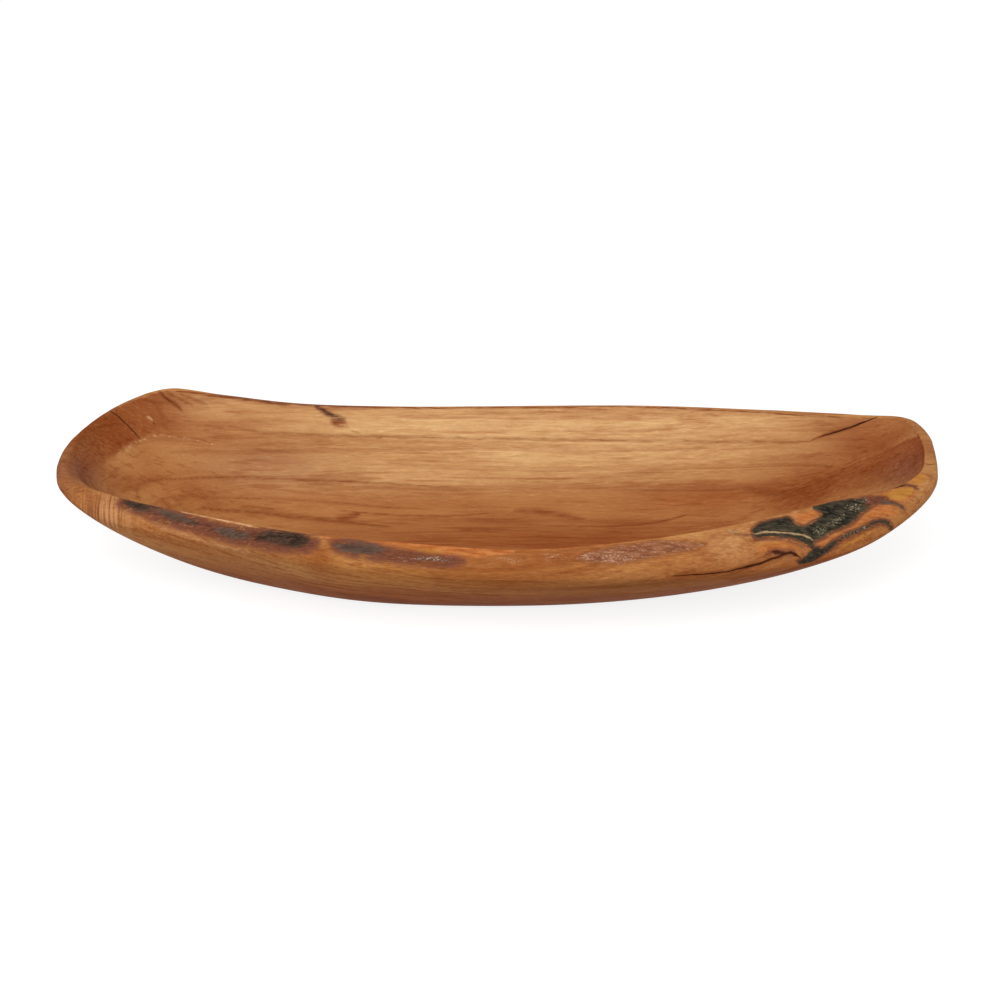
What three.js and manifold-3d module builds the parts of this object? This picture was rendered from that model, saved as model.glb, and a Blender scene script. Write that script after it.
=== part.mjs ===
// A long, boat-shaped wooden bowl, carved from one split log with its natural edge left on.
// The rim is uneven: a raised corner at the back left, a broad right end, and a front edge
// that slopes outward where the log's skin was. Remnants of bark sit in shallow recesses
// along that edge, and a pocket of ingrown bark and a knot lie in it at the right.
// Millimetres, +Z up, +X along the bowl. The origin is in the plane that the foot rests on,
// below the middle of the plan.
import * as THREE from 'three';
import Module from 'manifold-3d';

// Overall plan, and the height of the outer edge of the rim at the middle of the back.
const LENGTH = 500;
const WIDTH = 196;
const RIM_HEIGHT = 58;

// The flat foot, an oval under the hull. Its centre lies off the middle of the plan.
const FOOT_LENGTH = 200;
const FOOT_WIDTH = 76;
const FOOT_OFFSET_X = -14;
const FOOT_OFFSET_Y = -8;

// The flat part of the hollow's floor.
const FLOOR_LENGTH = 250;
const FLOOR_WIDTH = 80;
const FLOOR_OFFSET_X = -8;
const FLOOR_OFFSET_Y = -4;
const FLOOR_THICKNESS = 10;

// Both ovals are superellipses of this power: 2 is an ellipse, and more is squarer.
const OVAL_POWER = 2.3;

// The rounding of the crest, which is the inner edge of the lip. The outer edge is rounded
// over this share of the lip's width, because the wide front lip rolls into the hull.
const CREST_ROUND = 1.5;
const EDGE_ROUND_SHARE = 0.4;

// The hull leaves the foot level for a share of the way out, and meets the rim upright over
// a share of the height. Each share changes from the long sides to the ends of the bowl.
const HULL_LEVEL = { side: 0.27, end: 0.52 };
const HULL_UPRIGHT = { side: 0.23, end: 0.08 };
const HOLLOW_LEVEL = { side: 0.26, end: 0.36 };
const HOLLOW_UPRIGHT = { side: 0.18, end: 0.15 };

// How deep the pieces let into the lip go, and the gap to the wood all round them.
const BARK_DEPTH = 1.6;
const INGROWN_DEPTH = 3;
const KNOT_DEPTH = 4;
const FIT_CLEARANCE = 0.3;

// How far the cutting tools of the recesses stand out of the surface.
const TOOL_PROUD = 3;

// Fineness of the mesh.
const STATION_COUNT = 96;
const HULL_STEPS = 8;
const HOLLOW_STEPS = 8;
const ROUND_STEPS = 3;
const SKIN_STEPS = 36;
const PATCH_ROWS = 4;
const PATCH_COLUMNS_PER_SPAN = 2;

// Finish of the wood, of the bark and of the knot.
const WOOD = { color: 0xa5683a, roughness: 0.5 };
const GREY_BARK = { color: 0x2f2624, roughness: 0.85 };
const BROWN_BARK = { color: 0x4a2f2a, roughness: 0.85 };
const PINK_BARK = { color: 0x7a4a3a, roughness: 0.85 };
const INGROWN_BARK = { color: 0x23251f, roughness: 0.75 };
const KNOT = { color: 0xc48a3c, roughness: 0.5 };

// Stations of the rim, counter-clockwise from the right end as seen from above. Each gives
// the outer edge as shares of half the length and half the width, its rise above RIM_HEIGHT,
// the lip's width, and the rise from the outer edge to the crest.
const RIM_STATIONS = [
  { along: 0.998, across: 0.15, rise: 5.2, lip: 8, crest: 1 },
  { along: 1.0, across: 0.47, rise: 6.2, lip: 8, crest: 1 },
  { along: 0.968, across: 0.73, rise: 3.8, lip: 4.5, crest: 0.8 },
  { along: 0.87, across: 0.84, rise: 1, lip: 4.5, crest: 1 },
  { along: 0.66, across: 0.915, rise: 1, lip: 5, crest: 1.5 },
  { along: 0.34, across: 0.995, rise: 0.5, lip: 5, crest: 2 },
  { along: 0.02, across: 1.0, rise: 0, lip: 5, crest: 2 },
  { along: -0.25, across: 0.985, rise: 0, lip: 5, crest: 2.5 },
  { along: -0.48, across: 0.965, rise: 3, lip: 5, crest: 2.5 },
  { along: -0.65, across: 0.975, rise: 8, lip: 5, crest: 2.5 },
  { along: -0.78, across: 0.965, rise: 13, lip: 4.5, crest: 1.5 },
  { along: -0.863, across: 0.845, rise: 11.2, lip: 4, crest: 1 },
  { along: -0.945, across: 0.54, rise: 8.2, lip: 4, crest: 1 },
  { along: -0.99, across: 0.2, rise: 4, lip: 7, crest: 1 },
  { along: -0.975, across: -0.1, rise: 0, lip: 12, crest: 2.5 },
  { along: -0.88, across: -0.35, rise: -5.5, lip: 12, crest: 5.5 },
  { along: -0.64, across: -0.62, rise: -7.5, lip: 9, crest: 7 },
  { along: -0.4, across: -0.86, rise: -8.5, lip: 9, crest: 8 },
  { along: -0.18, across: -0.96, rise: -9, lip: 9, crest: 8 },
  { along: 0.06, across: -0.985, rise: -11.5, lip: 9, crest: 8 },
  { along: 0.28, across: -0.94, rise: -13, lip: 11, crest: 11 },
  { along: 0.48, across: -0.85, rise: -13, lip: 14, crest: 13 },
  { along: 0.66, across: -0.71, rise: -12, lip: 18, crest: 14 },
  { along: 0.805, across: -0.55, rise: -8.5, lip: 20, crest: 11.5 },
  { along: 0.912, across: -0.36, rise: -3, lip: 15, crest: 5.5 },
  { along: 0.98, across: -0.12, rise: 1.5, lip: 11, crest: 2.5 },
];

// The pieces let into the lip. An outline runs along the rim, with its place as a share of
// half the length, and its upper and lower edges as distances below the crest over the skin.
const PATCHES = [
  {
    name: 'bark_strip_left',
    side: 'front',
    depth: BARK_DEPTH,
    finish: GREY_BARK,
    outline: [
      [-0.83, 5.5, 8],
      [-0.79, 3, 10],
      [-0.68, 2.6, 12],
      [-0.6, 2.6, 12.6],
      [-0.51, 2.6, 13],
      [-0.45, 2.8, 12],
      [-0.385, 5.5, 8],
    ],
  },
  {
    name: 'bark_patch_middle',
    side: 'front',
    depth: BARK_DEPTH,
    finish: BROWN_BARK,
    outline: [
      [-0.35, 4, 7],
      [-0.32, 2.8, 10],
      [-0.23, 4.4, 11],
      [-0.15, 6.4, 12.2],
      [-0.08, 8, 10],
    ],
  },
  {
    name: 'bark_patch_right',
    side: 'front',
    depth: BARK_DEPTH,
    finish: PINK_BARK,
    outline: [
      [0.165, 8, 10.5],
      [0.2, 4.6, 12],
      [0.28, 2.8, 12.8],
      [0.36, 2.8, 12.8],
      [0.42, 5.5, 12.2],
      [0.46, 8.6, 10.6],
    ],
  },
  {
    name: 'ingrown_bark',
    side: 'front',
    depth: INGROWN_DEPTH,
    finish: INGROWN_BARK,
    outline: [
      [0.55, 5, 7.5],
      [0.59, 3.4, 9.5],
      [0.635, 3.4, 11.5],
      [0.67, 8, 15],
      [0.7, 10, 19.5],
      [0.735, 3.8, 20],
      [0.79, 3, 18],
      [0.83, 3, 14.5],
      [0.87, 4.5, 10.5],
      [0.89, 6.2, 9],
    ],
  },
  {
    name: 'ingrown_bark_seam',
    side: 'front',
    depth: INGROWN_DEPTH,
    finish: INGROWN_BARK,
    outline: [
      [0.645, 26, 29],
      [0.69, 25, 31],
      [0.73, 22.6, 27.4],
      [0.77, 21.2, 24.4],
      [0.81, 19, 22],
      [0.845, 18.4, 21.6],
      [0.865, 21, 24],
    ],
  },
  {
    name: 'rim_knot',
    side: 'front',
    depth: KNOT_DEPTH,
    finish: KNOT,
    outline: [
      [0.905, 4, 7],
      [0.915, 2.8, 9.6],
      [0.93, 2.8, 9.6],
      [0.943, 4, 7.4],
    ],
  },
  {
    name: 'bark_edge_back',
    side: 'back',
    depth: BARK_DEPTH,
    finish: BROWN_BARK,
    outline: [
      [-0.69, 4, 7],
      [-0.62, 2.8, 12],
      [-0.48, 2.8, 15],
      [-0.34, 2.8, 11],
      [-0.24, 4, 7],
    ],
  },
];

// Points between two points, along a bend whose corner is the middle one.
function bend(start, corner, end, steps) {
  return new THREE.QuadraticBezierCurve3(start, corner, end).getPoints(steps);
}

// The rim's outer edge, and the lip's width and crest rise, as closed curves of one turn.
const rimEdge = new THREE.CatmullRomCurve3(
  RIM_STATIONS.map(({ along, across, rise }) => (
    new THREE.Vector3(along * LENGTH / 2, across * WIDTH / 2, RIM_HEIGHT + rise)
  )),
  true,
  'centripetal',
);
const rimLip = new THREE.CatmullRomCurve3(
  RIM_STATIONS.map(({ lip, crest }) => new THREE.Vector3(lip, crest, 0)),
  true,
  'catmullrom',
);

// The point of an oval in the direction in which the rim's edge lies from the middle.
function ovalPoint(edge, length, width, centreX, centreY, height) {
  const angle = Math.atan2(edge.y / WIDTH, edge.x / LENGTH);
  const cos = Math.cos(angle);
  const sin = Math.sin(angle);
  const reach = (Math.abs(cos) ** OVAL_POWER + Math.abs(sin) ** OVAL_POWER) ** (-1 / OVAL_POWER);
  return new THREE.Vector3(
    centreX + (length / 2) * reach * cos,
    centreY + (width / 2) * reach * sin,
    height,
  );
}

// A wall from a level start up to an upright end, as points from the bottom to the top.
function wallPoints(bottom, top, levelShare, uprightShare, steps) {
  const level = bottom.clone().lerp(new THREE.Vector3(top.x, top.y, bottom.z), levelShare);
  const upright = new THREE.Vector3(top.x, top.y, top.z - uprightShare * (top.z - bottom.z));
  return new THREE.CubicBezierCurve3(bottom, level, upright, top).getPoints(steps);
}

// A share between its value on the long sides and its value at the ends.
function shareAt(edge, share) {
  const endness = Math.min(1, Math.abs(edge.x) / (LENGTH / 2)) ** 2;
  return share.side + (share.end - share.side) * endness;
}

// The edge, crest and corner roundings of the rim at one place of its turn.
function rimAt(turn) {
  const edge = rimEdge.getPoint(turn);
  const lip = rimLip.getPoint(turn);
  const ahead = rimEdge.getTangent(turn);
  const outward = new THREE.Vector3(ahead.y, -ahead.x, 0).normalize();
  const crest = edge.clone().addScaledVector(outward, -lip.x);
  crest.z += lip.y;
  const inward = crest.clone().sub(edge).normalize();
  const round = EDGE_ROUND_SHARE * edge.distanceTo(crest);
  return {
    edge,
    crest,
    edgeBelow: edge.clone().setZ(edge.z - round),
    edgeInside: edge.clone().addScaledVector(inward, round),
    crestOutside: crest.clone().addScaledVector(inward, -CREST_ROUND),
    crestBelow: crest.clone().setZ(crest.z - CREST_ROUND),
  };
}

// The outer skin at one place of the turn: up the hull, round the edge and over the lip.
function outerSkin(turn, hullSteps) {
  const rim = rimAt(turn);
  const footEdge = ovalPoint(rim.edge, FOOT_LENGTH, FOOT_WIDTH, FOOT_OFFSET_X, FOOT_OFFSET_Y, 0);
  const level = shareAt(rim.edge, HULL_LEVEL);
  const upright = shareAt(rim.edge, HULL_UPRIGHT);
  return [
    ...wallPoints(footEdge, rim.edgeBelow, level, upright, hullSteps),
    ...bend(rim.edgeBelow, rim.edge, rim.edgeInside, ROUND_STEPS).slice(1),
    rim.crestOutside,
  ];
}

// The inner skin at one place of the turn: over the crest, down the wall to the floor.
function innerSkin(turn) {
  const rim = rimAt(turn);
  const floorEdge = ovalPoint(
    rim.edge, FLOOR_LENGTH, FLOOR_WIDTH, FLOOR_OFFSET_X, FLOOR_OFFSET_Y, FLOOR_THICKNESS,
  );
  const level = shareAt(rim.edge, HOLLOW_LEVEL);
  const upright = shareAt(rim.edge, HOLLOW_UPRIGHT);
  const wall = wallPoints(floorEdge, rim.crestBelow, level, upright, HOLLOW_STEPS).reverse();
  return [
    ...bend(rim.crestOutside, rim.crest, rim.crestBelow, ROUND_STEPS).slice(1),
    ...wall.slice(1),
  ];
}

// A geometry from shared points and triangles.
function geometryOf(points, triangles) {
  const geometry = new THREE.BufferGeometry();
  const positions = points.flatMap((point) => point.toArray());
  geometry.setAttribute('position', new THREE.Float32BufferAttribute(positions, 3));
  geometry.setIndex(triangles);
  return geometry;
}

// Two triangles for each cell between neighbouring rows of equal length.
function bridgeRows(triangles, rowStarts, count, closed) {
  const cells = closed ? count : count - 1;
  for (let row = 0; row + 1 < rowStarts.length; row += 1) {
    for (let cell = 0; cell < cells; cell += 1) {
      const next = (cell + 1) % count;
      const a = rowStarts[row] + cell;
      const b = rowStarts[row] + next;
      const c = rowStarts[row + 1] + next;
      const d = rowStarts[row + 1] + cell;
      triangles.push(a, b, c, a, c, d);
    }
  }
}

// The whole bowl before its recesses are cut: rings from the foot's edge, over the rim and
// down to the floor, closed by the flat foot and the flat floor.
function bowlGeometry() {
  const sections = [];
  for (let station = 0; station < STATION_COUNT; station += 1) {
    const turn = station / STATION_COUNT;
    sections.push([...outerSkin(turn, HULL_STEPS), ...innerSkin(turn)]);
  }
  const ringCount = sections[0].length;
  const points = [];
  const ringStarts = [];
  for (let ring = 0; ring < ringCount; ring += 1) {
    ringStarts.push(points.length);
    sections.forEach((section) => points.push(section[ring]));
  }
  const triangles = [];
  bridgeRows(triangles, ringStarts, STATION_COUNT, true);

  const footCentre = points.push(new THREE.Vector3(FOOT_OFFSET_X, FOOT_OFFSET_Y, 0)) - 1;
  const floorCentre = points.push(
    new THREE.Vector3(FLOOR_OFFSET_X, FLOOR_OFFSET_Y, FLOOR_THICKNESS),
  ) - 1;
  const lastRing = ringStarts[ringCount - 1];
  for (let station = 0; station < STATION_COUNT; station += 1) {
    const next = (station + 1) % STATION_COUNT;
    triangles.push(footCentre, next, station);
    triangles.push(floorCentre, lastRing + station, lastRing + next);
  }
  return geometryOf(points, triangles);
}

// The place in the rim's turn whose edge lies at a share of half the length, on one side.
// The turn starts at the right end, and the back runs from there to the left end.
function turnAt(along, side) {
  const rightEnd = 1 / RIM_STATIONS.length;
  const leftEnd = 0.5;
  const halvings = 30;
  const target = along * LENGTH / 2;
  let low = side === 'front' ? leftEnd : rightEnd;
  let high = side === 'front' ? 1 : leftEnd;
  for (let halving = 0; halving < halvings; halving += 1) {
    const middle = (low + high) / 2;
    const short = side === 'front'
      ? rimEdge.getPoint(middle).x < target
      : rimEdge.getPoint(middle).x > target;
    if (short) {
      low = middle;
    } else {
      high = middle;
    }
  }
  return (low + high) / 2;
}

// The point of the outer skin at a distance below the crest, measured over the surface.
function skinPoint(turn, below) {
  const path = outerSkin(turn, SKIN_STEPS).reverse();
  let left = below - CREST_ROUND;
  for (let step = 0; step + 1 < path.length; step += 1) {
    const span = path[step].distanceTo(path[step + 1]);
    if (left <= span) {
      return path[step].clone().lerp(path[step + 1], left / span);
    }
    left -= span;
  }
  return path[path.length - 1];
}

// The outward direction of the outer skin there.
function skinNormal(turn, below) {
  const turnStep = 0.002;
  const belowStep = 1;
  const ahead = skinPoint(turn + turnStep, below).sub(skinPoint(turn - turnStep, below));
  const down = skinPoint(turn, below + belowStep).sub(skinPoint(turn, below - belowStep));
  return down.cross(ahead).normalize();
}

// The outline of a patch, with more columns between its given ones.
function patchColumns(outline) {
  const curve = new THREE.CatmullRomCurve3(
    outline.map(([along, upper, lower]) => new THREE.Vector3(along * LENGTH / 2, upper, lower)),
    false,
    'centripetal',
  );
  const columnCount = (outline.length - 1) * PATCH_COLUMNS_PER_SPAN;
  return curve.getPoints(columnCount).map((point) => [point.x / (LENGTH / 2), point.y, point.z]);
}

// A closed shell round a patch of the skin: it stands proud of it and goes in by a depth.
// The margin widens it all round, for the recess that the piece sits in.
function patchShell({ side, outline, depth }, margin) {
  const columns = patchColumns(outline);
  const turnMargin = (column) => {
    const reach = margin / (LENGTH / 2);
    if (column === 0) {
      return -reach;
    }
    return column === columns.length - 1 ? reach : 0;
  };
  const points = [];
  const outerRows = [];
  const innerRows = [];
  for (let row = 0; row <= PATCH_ROWS; row += 1) {
    const share = row / PATCH_ROWS;
    const outerPoints = [];
    const innerPoints = [];
    columns.forEach(([along, upper, lower], column) => {
      const turn = turnAt(along + turnMargin(column), side);
      const below = upper - margin + (lower - upper + 2 * margin) * share;
      const normal = skinNormal(turn, below);
      outerPoints.push(skinPoint(turn, below).addScaledVector(normal, TOOL_PROUD));
      innerPoints.push(skinPoint(turn, below).addScaledVector(normal, -depth - margin));
    });
    outerRows.push(outerPoints);
    innerRows.push(innerPoints);
  }
  const loop = [...outerRows, ...innerRows.reverse()];
  const rowStarts = loop.map((row) => points.push(...row) - row.length);
  rowStarts.push(rowStarts[0]);
  const triangles = [];
  bridgeRows(triangles, rowStarts, columns.length, false);
  const lastColumn = columns.length - 1;
  const lastRow = loop.length - 1;
  for (let row = 0; row < PATCH_ROWS; row += 1) {
    const a = rowStarts[row];
    const b = rowStarts[row + 1];
    const c = rowStarts[lastRow - row - 1];
    const d = rowStarts[lastRow - row];
    triangles.push(a, b, c, a, c, d);
    triangles.push(a + lastColumn, c + lastColumn, b + lastColumn);
    triangles.push(a + lastColumn, d + lastColumn, c + lastColumn);
  }
  return geometryOf(points, triangles);
}

const manifold = await Module();
manifold.setup();

// Geometry to solid. A shell that comes out facing in is turned.
function solidOf(geometry) {
  const vertProperties = geometry.attributes.position.array;
  const triVerts = Uint32Array.from(geometry.index.array);
  const corner = (index) => new THREE.Vector3().fromArray(vertProperties, 3 * index);
  let volume = 0;
  for (let first = 0; first < triVerts.length; first += 3) {
    const a = corner(triVerts[first]);
    const b = corner(triVerts[first + 1]);
    const c = corner(triVerts[first + 2]);
    volume += a.dot(b.cross(c)) / 6;
  }
  if (volume < 0) {
    triVerts.reverse();
  }
  return new manifold.Manifold(new manifold.Mesh({ numProp: 3, vertProperties, triVerts }));
}

// Solid to a named mesh with its own material.
function meshOf(solid, name, finish) {
  const { vertProperties, triVerts } = solid.getMesh();
  const geometry = new THREE.BufferGeometry();
  geometry.setAttribute('position', new THREE.BufferAttribute(vertProperties, 3));
  geometry.setIndex(new THREE.BufferAttribute(triVerts, 1));
  geometry.computeVertexNormals();
  const material = new THREE.MeshStandardMaterial({ ...finish, metalness: 0 });
  const mesh = new THREE.Mesh(geometry, material);
  mesh.name = name;
  return mesh;
}

// Each patch is what its shell shares with the uncut bowl, so its face is flush with the
// skin, and the body loses the same shell with the clearance added.
const bowl = new THREE.Group();
const blank = solidOf(bowlGeometry());
let body = blank;
PATCHES.forEach((patch) => {
  const piece = blank.intersect(solidOf(patchShell(patch, 0)));
  body = body.subtract(solidOf(patchShell(patch, FIT_CLEARANCE)));
  bowl.add(meshOf(piece, patch.name, patch.finish));
});
bowl.add(meshOf(body, 'bowl_body', WOOD));

export default bowl;
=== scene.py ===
"""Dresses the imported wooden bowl: a fine mesh of the carved log, its bark, knot and materials.

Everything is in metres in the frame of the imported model. The bowl's skin is worked out from
the same stations and shares as the solids, so each piece sits where its node is.
"""
import math
from collections import namedtuple

import bmesh
import bpy
import numpy as np
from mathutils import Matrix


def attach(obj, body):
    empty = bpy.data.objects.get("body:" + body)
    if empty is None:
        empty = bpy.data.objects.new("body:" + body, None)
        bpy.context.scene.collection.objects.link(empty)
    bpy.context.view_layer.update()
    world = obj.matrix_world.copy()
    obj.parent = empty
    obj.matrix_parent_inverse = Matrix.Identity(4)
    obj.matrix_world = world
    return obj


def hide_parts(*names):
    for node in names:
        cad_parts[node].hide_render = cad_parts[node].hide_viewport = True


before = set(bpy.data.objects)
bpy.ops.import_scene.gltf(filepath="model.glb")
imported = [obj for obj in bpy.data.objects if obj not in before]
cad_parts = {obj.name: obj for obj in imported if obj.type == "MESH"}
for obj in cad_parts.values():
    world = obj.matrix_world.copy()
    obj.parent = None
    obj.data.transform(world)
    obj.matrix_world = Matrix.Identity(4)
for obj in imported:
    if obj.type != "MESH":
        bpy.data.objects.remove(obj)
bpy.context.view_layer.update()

MM = 0.001

# The bowl's plan and the height of the outer edge of its rim at the middle of the back.
LENGTH = 500 * MM
WIDTH = 196 * MM
RIM_HEIGHT = 58 * MM

# The flat foot and the flat part of the hollow's floor: length, width, centre and height.
FOOT = {"length": 200 * MM, "width": 76 * MM, "x": -14 * MM, "y": -8 * MM, "height": 0.0}
FLOOR = {"length": 250 * MM, "width": 80 * MM, "x": -8 * MM, "y": -4 * MM, "height": 10 * MM}
OVAL_POWER = 2.3

# The rim's roundings: the least one of the crest, that of the edge as a share of the lip, and
# that of the crest on the outside as a share of the inside one and at most of the lip.
CREST_ROUND = 1.5 * MM
EDGE_ROUND_SHARE = 0.4
OUTSIDE_SHARE = 0.6
MOST_OF_LIP = 0.58

# The shares that shape the walls, on the long sides and at the ends.
HULL_LEVEL = (0.27, 0.52)
HULL_UPRIGHT = (0.23, 0.08)
HOLLOW_LEVEL = (0.26, 0.36)
HOLLOW_UPRIGHT = (0.18, 0.15)

# Stations of the rim, counter-clockwise from the right end: the outer edge as shares of half
# the length and width, then in mm its rise, the lip's width, the crest's rise, and how far the
# crest is rounded down into the hollow.
RIM_STATIONS = np.array([
    (0.998, 0.15, 5.2, 8, 1, 3),
    (1.0, 0.47, 6.2, 8, 1, 5),
    (0.968, 0.73, 3.8, 4.5, 0.8, 9),
    (0.87, 0.84, 1, 4.5, 1, 8),
    (0.66, 0.915, 1, 5, 1.5, 4),
    (0.34, 0.995, 0.5, 5, 2, 2.5),
    (0.02, 1.0, 0, 5, 2, 2.5),
    (-0.25, 0.985, 0, 5, 2.5, 2.5),
    (-0.48, 0.965, 3, 5, 2.5, 2.5),
    (-0.65, 0.975, 8, 5, 2.5, 3),
    (-0.78, 0.965, 13, 4.5, 1.5, 5),
    (-0.863, 0.845, 11.2, 4, 1, 8),
    (-0.945, 0.54, 8.2, 4, 1, 12),
    (-0.99, 0.2, 4, 7, 1, 15),
    (-0.975, -0.1, 0, 12, 2.5, 14),
    (-0.88, -0.35, -5.5, 12, 5.5, 3.5),
    (-0.64, -0.62, -7.5, 9, 7, 2),
    (-0.4, -0.86, -8.5, 9, 8, 1.5),
    (-0.18, -0.96, -9, 9, 8, 1.5),
    (0.06, -0.985, -11.5, 9, 8, 1.5),
    (0.28, -0.94, -13, 11, 11, 1.5),
    (0.48, -0.85, -13, 14, 13, 1.5),
    (0.66, -0.71, -12, 18, 14, 1.5),
    (0.805, -0.55, -8.5, 20, 11.5, 1.5),
    (0.912, -0.36, -3, 15, 5.5, 1.5),
    (0.98, -0.12, 1.5, 11, 2.5, 2),
])

# Fineness of the bowl's mesh: places round the rim, and rings over each part of the skin.
STATION_COUNT = 640
HULL_RINGS = 32
RIM_RINGS = 20
CREST_RINGS = 8
HOLLOW_RINGS = 38
DISC_SHARES = (0.985, 0.95, 0.88, 0.76, 0.58, 0.34)

# Fineness of what is measured and not built: the hull, edge and lip under the patches, the
# wall of the hollow, the rim's line, and the steps between two points of a drawn curve.
FINE_RINGS = 60
PATCH_RINGS = (60, 8, 6)
WALL_STEPS = 200
RIM_PLACES = 3000
SPAN_STEPS = 6

# Fineness of the bark pieces' mesh.
BARK_CELL = 0.4 * MM

# Each kind of bark, and the knot: how deep it reaches and how rough it is, its dark, light and
# pale colours on screen, and how strong its pale flecks are.
Bark = namedtuple("Bark", "depth roughness dark light pale pale_share")
BARK_DEPTH = 1.4 * MM
BARKS = {
    "grey_bark": Bark(BARK_DEPTH, 0.14 * MM, (88, 52, 40), (134, 82, 60), (146, 104, 82), 0.25),
    "brown_bark": Bark(BARK_DEPTH, 0.16 * MM, (96, 56, 42), (142, 86, 60), (150, 108, 84), 0.25),
    "pink_bark": Bark(BARK_DEPTH, 0.26 * MM, (132, 78, 52), (170, 111, 76), (206, 164, 136), 0.4),
    "ingrown_bark": Bark(2.6 * MM, 0.22 * MM, (46, 46, 38), (92, 78, 60), (128, 116, 92), 0.3),
    "knot": Bark(3.6 * MM, 0.06 * MM, (184, 118, 50), (204, 142, 68), (210, 156, 88), 0.25),
}

# How a patch's edge is made ragged, in the wood and in the bark alike: size, amount and seed.
PATCH_RAG = (6 * MM, 0.4 * MM, 31)

# How far from a patch, a line of the skin and a mark of the hollow its distance is measured.
PATCH_REACH = 8 * MM
LINE_REACH = 6 * MM
MARK_REACH = 9 * MM

# Marks of the hollow end this far below the crest on the outside. They and the edges of stains
# wander from what is drawn by about this much.
HOLLOW_TOP = 1.5 * MM
WANDER = 0.3 * MM

# A bark piece starts this far under the wood's skin and rises by this much over these distances
# inwards from its edge. Its shell ends outside that edge, hidden in the wood.
BARK_SUNK = 0.5 * MM
BARK_RISE = 0.55 * MM
BARK_RISE_OVER = (-0.5 * MM, 0.7 * MM)
BARK_END = -1.2 * MM

# The recess under a piece deepens over these distances inwards from its edge, and the piece
# bites this much into its bottom.
RECESS_OVER = (0.7 * MM, 2.2 * MM)
RECESS_BITE = 0.1 * MM

# The bowl's mesh is made finer twice, this near to lines. The first time soft lines and the
# edges of patches count too.
REFINEMENTS = ((2.6 * MM, True), (1.5 * MM, False))

# Waves left by hand tools, all over and on the lip: their size, depth and seed.
TOOL_WAVES = ((60 * MM, 24 * MM, 24 * MM), 0.3 * MM, 11)
LIP_WAVES = ((16 * MM, 7 * MM, 7 * MM), 0.22 * MM, 23)

# How glossy the oiled wood is, as the level of its specular light.
SHEEN = 0.01

# The log that the bowl was split from runs along X. Its heart lies under the bowl.
HEART_Y = 23 * MM
HEART_Z = -81 * MM


def bezier(corners, shares):
    """Points on the curve of these control points, one row for each share of the way."""
    points = [np.repeat(corner[None], len(shares), axis=0) for corner in corners]
    share = np.asarray(shares)[:, None, None]
    while len(points) > 1:
        points = [a + (b - a) * share for a, b in zip(points, points[1:])]
    return points[0]


def closed_curve(values, turns, even):
    """Values between those at the stations of a closed curve, evenly or by their distances."""
    count = len(values)
    place = (np.asarray(turns) % 1.0) * count
    first = np.floor(place).astype(int) % count
    share = (place - np.floor(place))[:, None]
    v0, v1, v2, v3 = (values[(first + step) % count] for step in (-1, 0, 1, 2))
    d0 = d1 = d2 = 1.0
    if not even:
        d0, d1, d2 = (
            np.sqrt(np.linalg.norm(a - b, axis=1))[:, None]
            for a, b in ((v0, v1), (v1, v2), (v2, v3))
        )
    t1 = ((v1 - v0) / d0 - (v2 - v0) / (d0 + d1) + (v2 - v1) / d1) * d1
    t2 = ((v2 - v1) / d1 - (v3 - v1) / (d1 + d2) + (v3 - v2) / d2) * d1
    curved = (-3 * v1 + 3 * v2 - 2 * t1 - t2) * share**2
    return v1 + t1 * share + curved + (2 * v1 - 2 * v2 + t1 + t2) * share**3


def rim_edge(turns):
    """The outer edge of the rim at these places of its turn."""
    along, across, rise = RIM_STATIONS[:, :3].T
    corners = (along * LENGTH / 2, across * WIDTH / 2, RIM_HEIGHT + rise * MM)
    return closed_curve(np.stack(corners, axis=1), turns, even=False)


def oval(edge, size):
    """The point of an oval in the direction in which the rim's edge lies."""
    angle = np.arctan2(edge[:, 1] / WIDTH, edge[:, 0] / LENGTH)
    cos, sin = np.cos(angle), np.sin(angle)
    reach = (np.abs(cos) ** OVAL_POWER + np.abs(sin) ** OVAL_POWER) ** (-1 / OVAL_POWER)
    x = size["x"] + size["length"] / 2 * reach * cos
    y = size["y"] + size["width"] / 2 * reach * sin
    return np.stack((x, y, np.full_like(x, size["height"])), axis=1)


def wall(bottom, top, level, upright, shares):
    """A wall from a level start up to an upright end."""
    start = bottom.copy()
    start[:, :2] += level[:, None] * (top - bottom)[:, :2]
    end = top.copy()
    end[:, 2] -= upright * (top - bottom)[:, 2]
    return bezier((bottom, start, end, top), shares)


def unit(vectors):
    return vectors / np.linalg.norm(vectors, axis=-1, keepdims=True)


def lowered(points, drop):
    lower = points.copy()
    lower[:, 2] -= drop
    return lower


def rim_at(turns):
    """The corner points of the rim, by name."""
    edge = rim_edge(turns)
    lip = closed_curve(RIM_STATIONS[:, 3:] * MM, turns, even=True)
    inside_round = lip[:, 2]
    ahead = rim_edge(turns + 1e-4) - rim_edge(turns - 1e-4)
    outward = unit(np.stack((ahead[:, 1], -ahead[:, 0]), axis=1))
    crest = edge.copy()
    crest[:, :2] -= lip[:, :1] * outward
    crest[:, 2] += lip[:, 1]
    lip_line = crest - edge
    width = np.linalg.norm(lip_line, axis=1)[:, None]
    outside_round = OUTSIDE_SHARE * inside_round[:, None]
    outside_round = np.clip(outside_round, CREST_ROUND, MOST_OF_LIP * width)
    return {
        "inside_round": inside_round,
        "outside_round": outside_round[:, 0],
        "edge": edge,
        "crest": crest,
        "edge_below": lowered(edge, EDGE_ROUND_SHARE * width[:, 0]),
        "edge_inside": edge + EDGE_ROUND_SHARE * lip_line,
        "crest_outside": crest - outside_round * lip_line / width,
        "crest_below": lowered(crest, CREST_ROUND),
    }


def end_share(edge, pair):
    """A share between its value on the long sides and its value at the ends."""
    endness = np.minimum(1, np.abs(edge[:, 0]) / (LENGTH / 2)) ** 2
    return pair[0] + (pair[1] - pair[0]) * endness


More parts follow.
